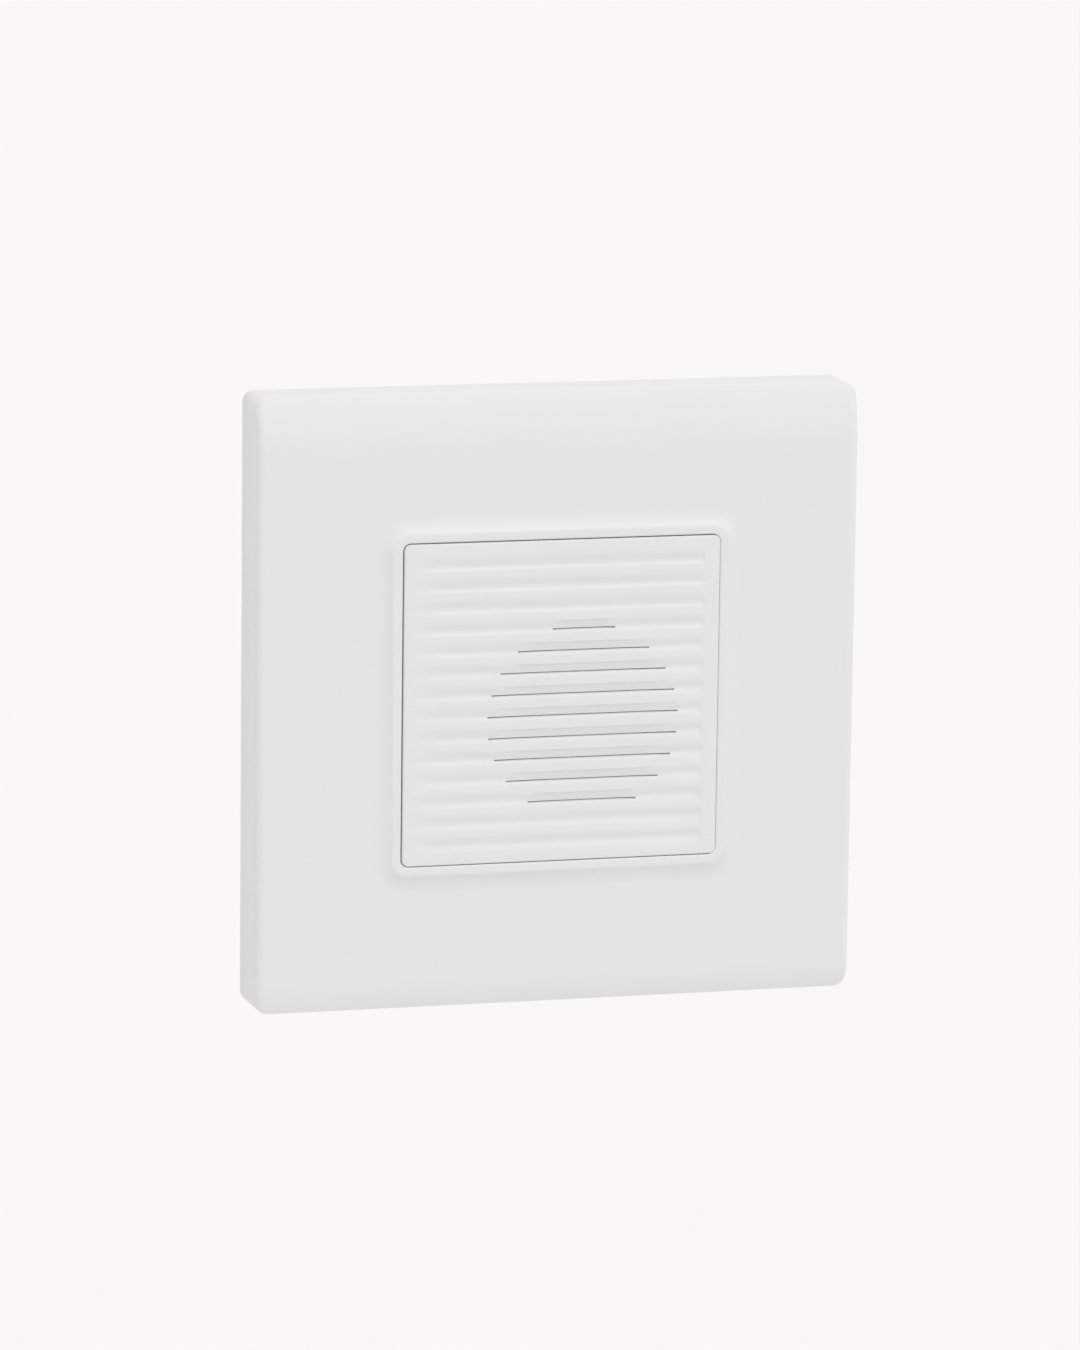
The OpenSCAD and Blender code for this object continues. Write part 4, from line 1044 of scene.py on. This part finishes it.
# Points along half of each straight side, as shares of it. The notch ends between the first two.
HALF_STOPS = (0.0988, 0.1025, 0.86, 0.913, 0.931, 0.95, 0.969, 0.986)
SIDE_STOPS = tuple(-stop for stop in reversed(HALF_STOPS)) + HALF_STOPS
NOTCH, NOTCH_SHARE = 1.2, 0.1
RIBS = {
    "Ribs": 8, "Rib place": 20.0, "Inner end": 23.45, "Outer end": 40.9,
    "Rib foot": -4.8, "Rib root": -7.7, "Rib thickness": 1.4,
}


def crowned(points, depth):
    """Depths of a loop on the face, which curves back towards its upper and lower edges."""
    depths = []
    for x, z in points:
        start, radius = UPPER_CROWN if z > 0 else LOWER_CROWN
        past = max(0.0, abs(z) - start)
        depths.append(depth + radius - math.sqrt(radius * radius - past * past))
    return depths


def edge_loop(turn, behind=0.0):
    """Loop on the round front edge, which is tighter along the top and the bottom than at the sides."""
    points, drops = [], []
    for x, z in square(FRAME_CENTRE + FRAME_RIM, FRAME_RIM, SIDE_STOPS):
        across, upward = max(0.0, abs(x) - FRAME_CENTRE), max(0.0, abs(z) - FRAME_CENTRE)
        level = upward * upward / (across * across + upward * upward)
        radius = SIDE_EDGE + (LEVEL_EDGE - SIDE_EDGE) * level
        inset = radius * (1.0 - math.cos(turn)) / FRAME_RIM
        points.append((x - math.copysign(across * inset, x), z - math.copysign(upward * inset, z)))
        drops.append(radius * (1.0 - math.sin(turn)))
    depths = [drop + back for drop, back in zip(drops, crowned(points, FRAME_FACE + behind))]
    return loop_at(mould, points, depths)


def rim_loop(half, radius, depth):
    """Loop at the wall, raised where the lower edge has its notch."""
    points = square(half, radius, SIDE_STOPS)
    notch_half = NOTCH_SHARE * (half - radius)
    depths = [depth - NOTCH if z < 0 and abs(x) < notch_half else depth for x, z in points]
    return loop_at(mould, points, depths)


def window_loop(reach, depth):
    """Loop at a distance from the centres of the window's corners."""
    half = WINDOW_CENTRE + reach
    return loop_at(mould, rounded_outline(half, half, reach, *WINDOW_SHIFT, stops=SIDE_STOPS), depth)


def frame_ribs():
    """Tree of the ribs inside the frame, two on each side."""
    tree, size = growth("frame_ribs", RIBS)
    inner, outer, foot, root = (size[key] for key in ("Inner end", "Outer end", "Rib foot", "Rib root"))
    bulk = point(tree, outer - inner, foot - root, size["Rib thickness"])
    block = step(tree, "GeometryNodeMeshCube", bulk)
    middle = point(tree, (outer + inner) * 0.5, (foot + root) * 0.5, 0.0)
    rib = step(tree, "GeometryNodeTransform", given={"Geometry": block, "Translation": middle})
    index = Measure(tree, step(tree, "GeometryNodeInputIndex").outputs[0])
    which = index % 2.0 * 2.0 - 1.0
    rotation = point(tree, 0.0, math.floor(index / 2.0) * (math.pi / 2), 0.0)
    place = {"Vector": point(tree, 0.0, 0.0, which * size["Rib place"]), "Rotation": rotation}
    spun = step(tree, "ShaderNodeVectorRotate", given=place, rotation_type="EULER_XYZ")
    points = step(tree, "GeometryNodePoints", size["Ribs"])
    roots = step(tree, "GeometryNodeSetPosition", points, True, spun)
    given = {"Points": roots, "Instance": rib, "Rotation": rotation}
    return tree, step(tree, "GeometryNodeInstanceOnPoints", given=given)


mould = bmesh.new()
outer_half = FRAME_CENTRE + FRAME_RIM
loops = []
for inset, depth in ((WALL_EDGE, 0.0), (WALL_EDGE_MIDDLE, -WALL_EDGE_MIDDLE), (0.0, -WALL_EDGE)):
    loops.append(rim_loop(outer_half - inset, WALL_CORNER - inset, depth))
loops.append(edge_loop(0.0, EDGE_GUARD))
loops += [edge_loop(turn) for turn in quarter(EDGE_STEPS)]
for number in range(FACE_LOOPS):
    half = FACE_OUT - (FACE_OUT - FACE_IN) * number / (FACE_LOOPS - 1)
    points = square(half, max(FACE_CORNER, half - FRAME_CENTRE), SIDE_STOPS)
    loops.append(loop_at(mould, points, crowned(points, FRAME_FACE)))

collar_reach = WINDOW_CORNER + COLLAR_WIDTH
blend_turn = math.acos(1 - (FRAME_FACE - COLLAR_FACE) / (BLEND_HOLLOW + BLEND_ROUND))
blend_width = (BLEND_HOLLOW + BLEND_ROUND) * math.sin(blend_turn)
blend_end = collar_reach - BLEND_START
blend_foot = blend_end + blend_width
rows = [(blend_foot + BLEND_MARGIN, FRAME_FACE)]
for number in range(HOLLOW_STEPS + 1):
    turn = blend_turn * number / HOLLOW_STEPS
    depth = FRAME_FACE - BLEND_HOLLOW * (1 - math.cos(turn))
    rows.append((blend_foot - BLEND_HOLLOW * math.sin(turn), depth))
for number in range(1, ROUND_STEPS + 1):
    turn = blend_turn * (1 - number / ROUND_STEPS)
    depth = COLLAR_FACE + BLEND_ROUND * (1 - math.cos(turn))
    rows.append((blend_end + BLEND_ROUND * math.sin(turn), depth))
for inset, drop in rounding(COLLAR_EDGE, COLLAR_EDGE_STEPS):
    rows.append((WINDOW_CORNER + inset, COLLAR_FACE + drop))
rows += [
    (WINDOW_CORNER, SKIRT_BACK - INNER_EDGE),
    (WINDOW_CORNER + INNER_EDGE, SKIRT_BACK),
    (collar_reach - INNER_EDGE, SKIRT_BACK),
    (collar_reach, SKIRT_BACK - INNER_EDGE),
    (collar_reach, ROOF),
]
loops += [window_loop(reach, depth) for reach, depth in rows]
shell_half = SHELL_CENTRE + SHELL_CORNER
loops += [
    loop_at(mould, square(shell_half, SHELL_CORNER, SIDE_STOPS), ROOF),
    rim_loop(shell_half, SHELL_CORNER, -INNER_EDGE),
    rim_loop(shell_half + INNER_EDGE, SHELL_CORNER + INNER_EDGE, 0.0),
]
skin(mould, loops, ring=True)

tree, ribs = frame_ribs()
rib_mould = grown(tree, ribs, RIBS, white_plastic, "frame_ribs")
ease(rib_mould, rib_mould.edges, INNER_EDGE)
joined(mould, rib_mould)
for sx, sz in CORNERS:
    x, z = sx * LUG_X, sz * LUG_Z
    half_x, half_z = LUG_HALF
    bar(mould, (x - half_x, ROOF - LUG_ROOT, z - half_z), (x + half_x, LUG_END, z + half_z), LUG_EDGE)
cover_frame = piece("cover_frame_moulding", mould, white_plastic, sharp=28.0)
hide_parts("cover_frame")
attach(cover_frame, "cover")

# Studio
# Pale floor well below the part, a surround that is a little darker on the left, and one soft lamp from
# the upper right. The camera stands where the photograph was taken, a little to the left and above.
BACKDROP = (0.947, 0.939, 0.922)
SURROUND, LEFT_SHADE = (0.925, 0.925, 0.925), 0.155
FLOOR_COLOUR = (0.831, 0.822, 0.808)
FLOOR_LEVEL, FLOOR_HALF = -0.28, 12.0
LAMP_FROM, LAMP_DISTANCE = (0.200, -0.449, 0.840), 2.0
LAMP_STRENGTH, LAMP_ANGLE = 0.895, 40.0
CAMERA_TURN, CAMERA_RISE, CAMERA_ROLL = 15.381, 10.581, 0.714
CAMERA_DISTANCE, CAMERA_LENS, CAMERA_SENSOR = 0.9332, 181.95, 36.0
CAMERA_TARGET, CAMERA_CLIP = (-0.00292, -0.0103, 0.00358), (0.05, 60.0)

mould = bmesh.new()
corners = [(-1, -1), (1, -1), (1, 1), (-1, 1)]
mould.faces.new([mould.verts.new((x * FLOOR_HALF, y * FLOOR_HALF, FLOOR_LEVEL)) for x, y in corners])
floor_mesh = bpy.data.meshes.new("floor")
mould.to_mesh(floor_mesh)
mould.free()
floor = bpy.data.objects.new("floor", floor_mesh)
bpy.context.scene.collection.objects.link(floor)
floor_finish, tree, shader, _ = finish("pale_floor")
fed(tree, shader, {"Base Color": (*FLOOR_COLOUR, 1), "Roughness": 0.9, "Specular IOR Level": 0.0})
floor_mesh.materials.append(floor_finish)

world = bpy.data.worlds.new("studio")
bpy.context.scene.world = world
world.use_nodes = True
tree = world.node_tree
rays = tree.nodes.new("ShaderNodeLightPath").outputs
seen = Measure(tree, rays["Is Camera Ray"]).most(rays["Is Glossy Ray"]).most(rays["Is Transmission Ray"])
sideways = parts(tree, tree.nodes.new("ShaderNodeTexCoord").outputs["Generated"])[0]
shade = ranged(tree, sideways, 1.0 - LEFT_SHADE, 1.0, start=-1.0, end=0.0)
dimmed = step(tree, "ShaderNodeVectorMath", SURROUND, given={"Scale": shade}, operation="SCALE")
fed(tree, tree.nodes["Background"], {"Color": tinted(tree, seen, dimmed, BACKDROP)})

lamp_data = bpy.data.lights.new("soft_lamp", "SUN")
lamp_data.energy = LAMP_STRENGTH
lamp_data.angle = math.radians(LAMP_ANGLE)
lamp = bpy.data.objects.new("soft_lamp", lamp_data)
lamp.rotation_mode = "QUATERNION"
lamp.rotation_quaternion = Vector(LAMP_FROM).to_track_quat("Z", "Y")
lamp.location = Vector(LAMP_FROM) * LAMP_DISTANCE
bpy.context.scene.collection.objects.link(lamp)

turn, lift, roll = (math.radians(angle) for angle in (CAMERA_TURN, CAMERA_RISE, CAMERA_ROLL))
back = Vector((-math.sin(turn) * math.cos(lift), -math.cos(turn) * math.cos(lift), math.sin(lift)))
right = Vector((math.cos(turn), -math.sin(turn), 0))
up = back.cross(right)
right, up = right * math.cos(roll) + up * math.sin(roll), up * math.cos(roll) - right * math.sin(roll)
camera_data = bpy.data.cameras.new("camera")
camera_data.lens = CAMERA_LENS
camera_data.sensor_width = CAMERA_SENSOR
camera_data.clip_start, camera_data.clip_end = CAMERA_CLIP
camera = bpy.data.objects.new("camera", camera_data)
axes = Matrix((right, up, back)).transposed().to_4x4()
camera.matrix_world = Matrix.Translation(Vector(CAMERA_TARGET) + back * CAMERA_DISTANCE) @ axes
bpy.context.scene.collection.objects.link(camera)
bpy.context.scene.camera = camera
bpy.context.scene.view_settings.view_transform = "Standard"
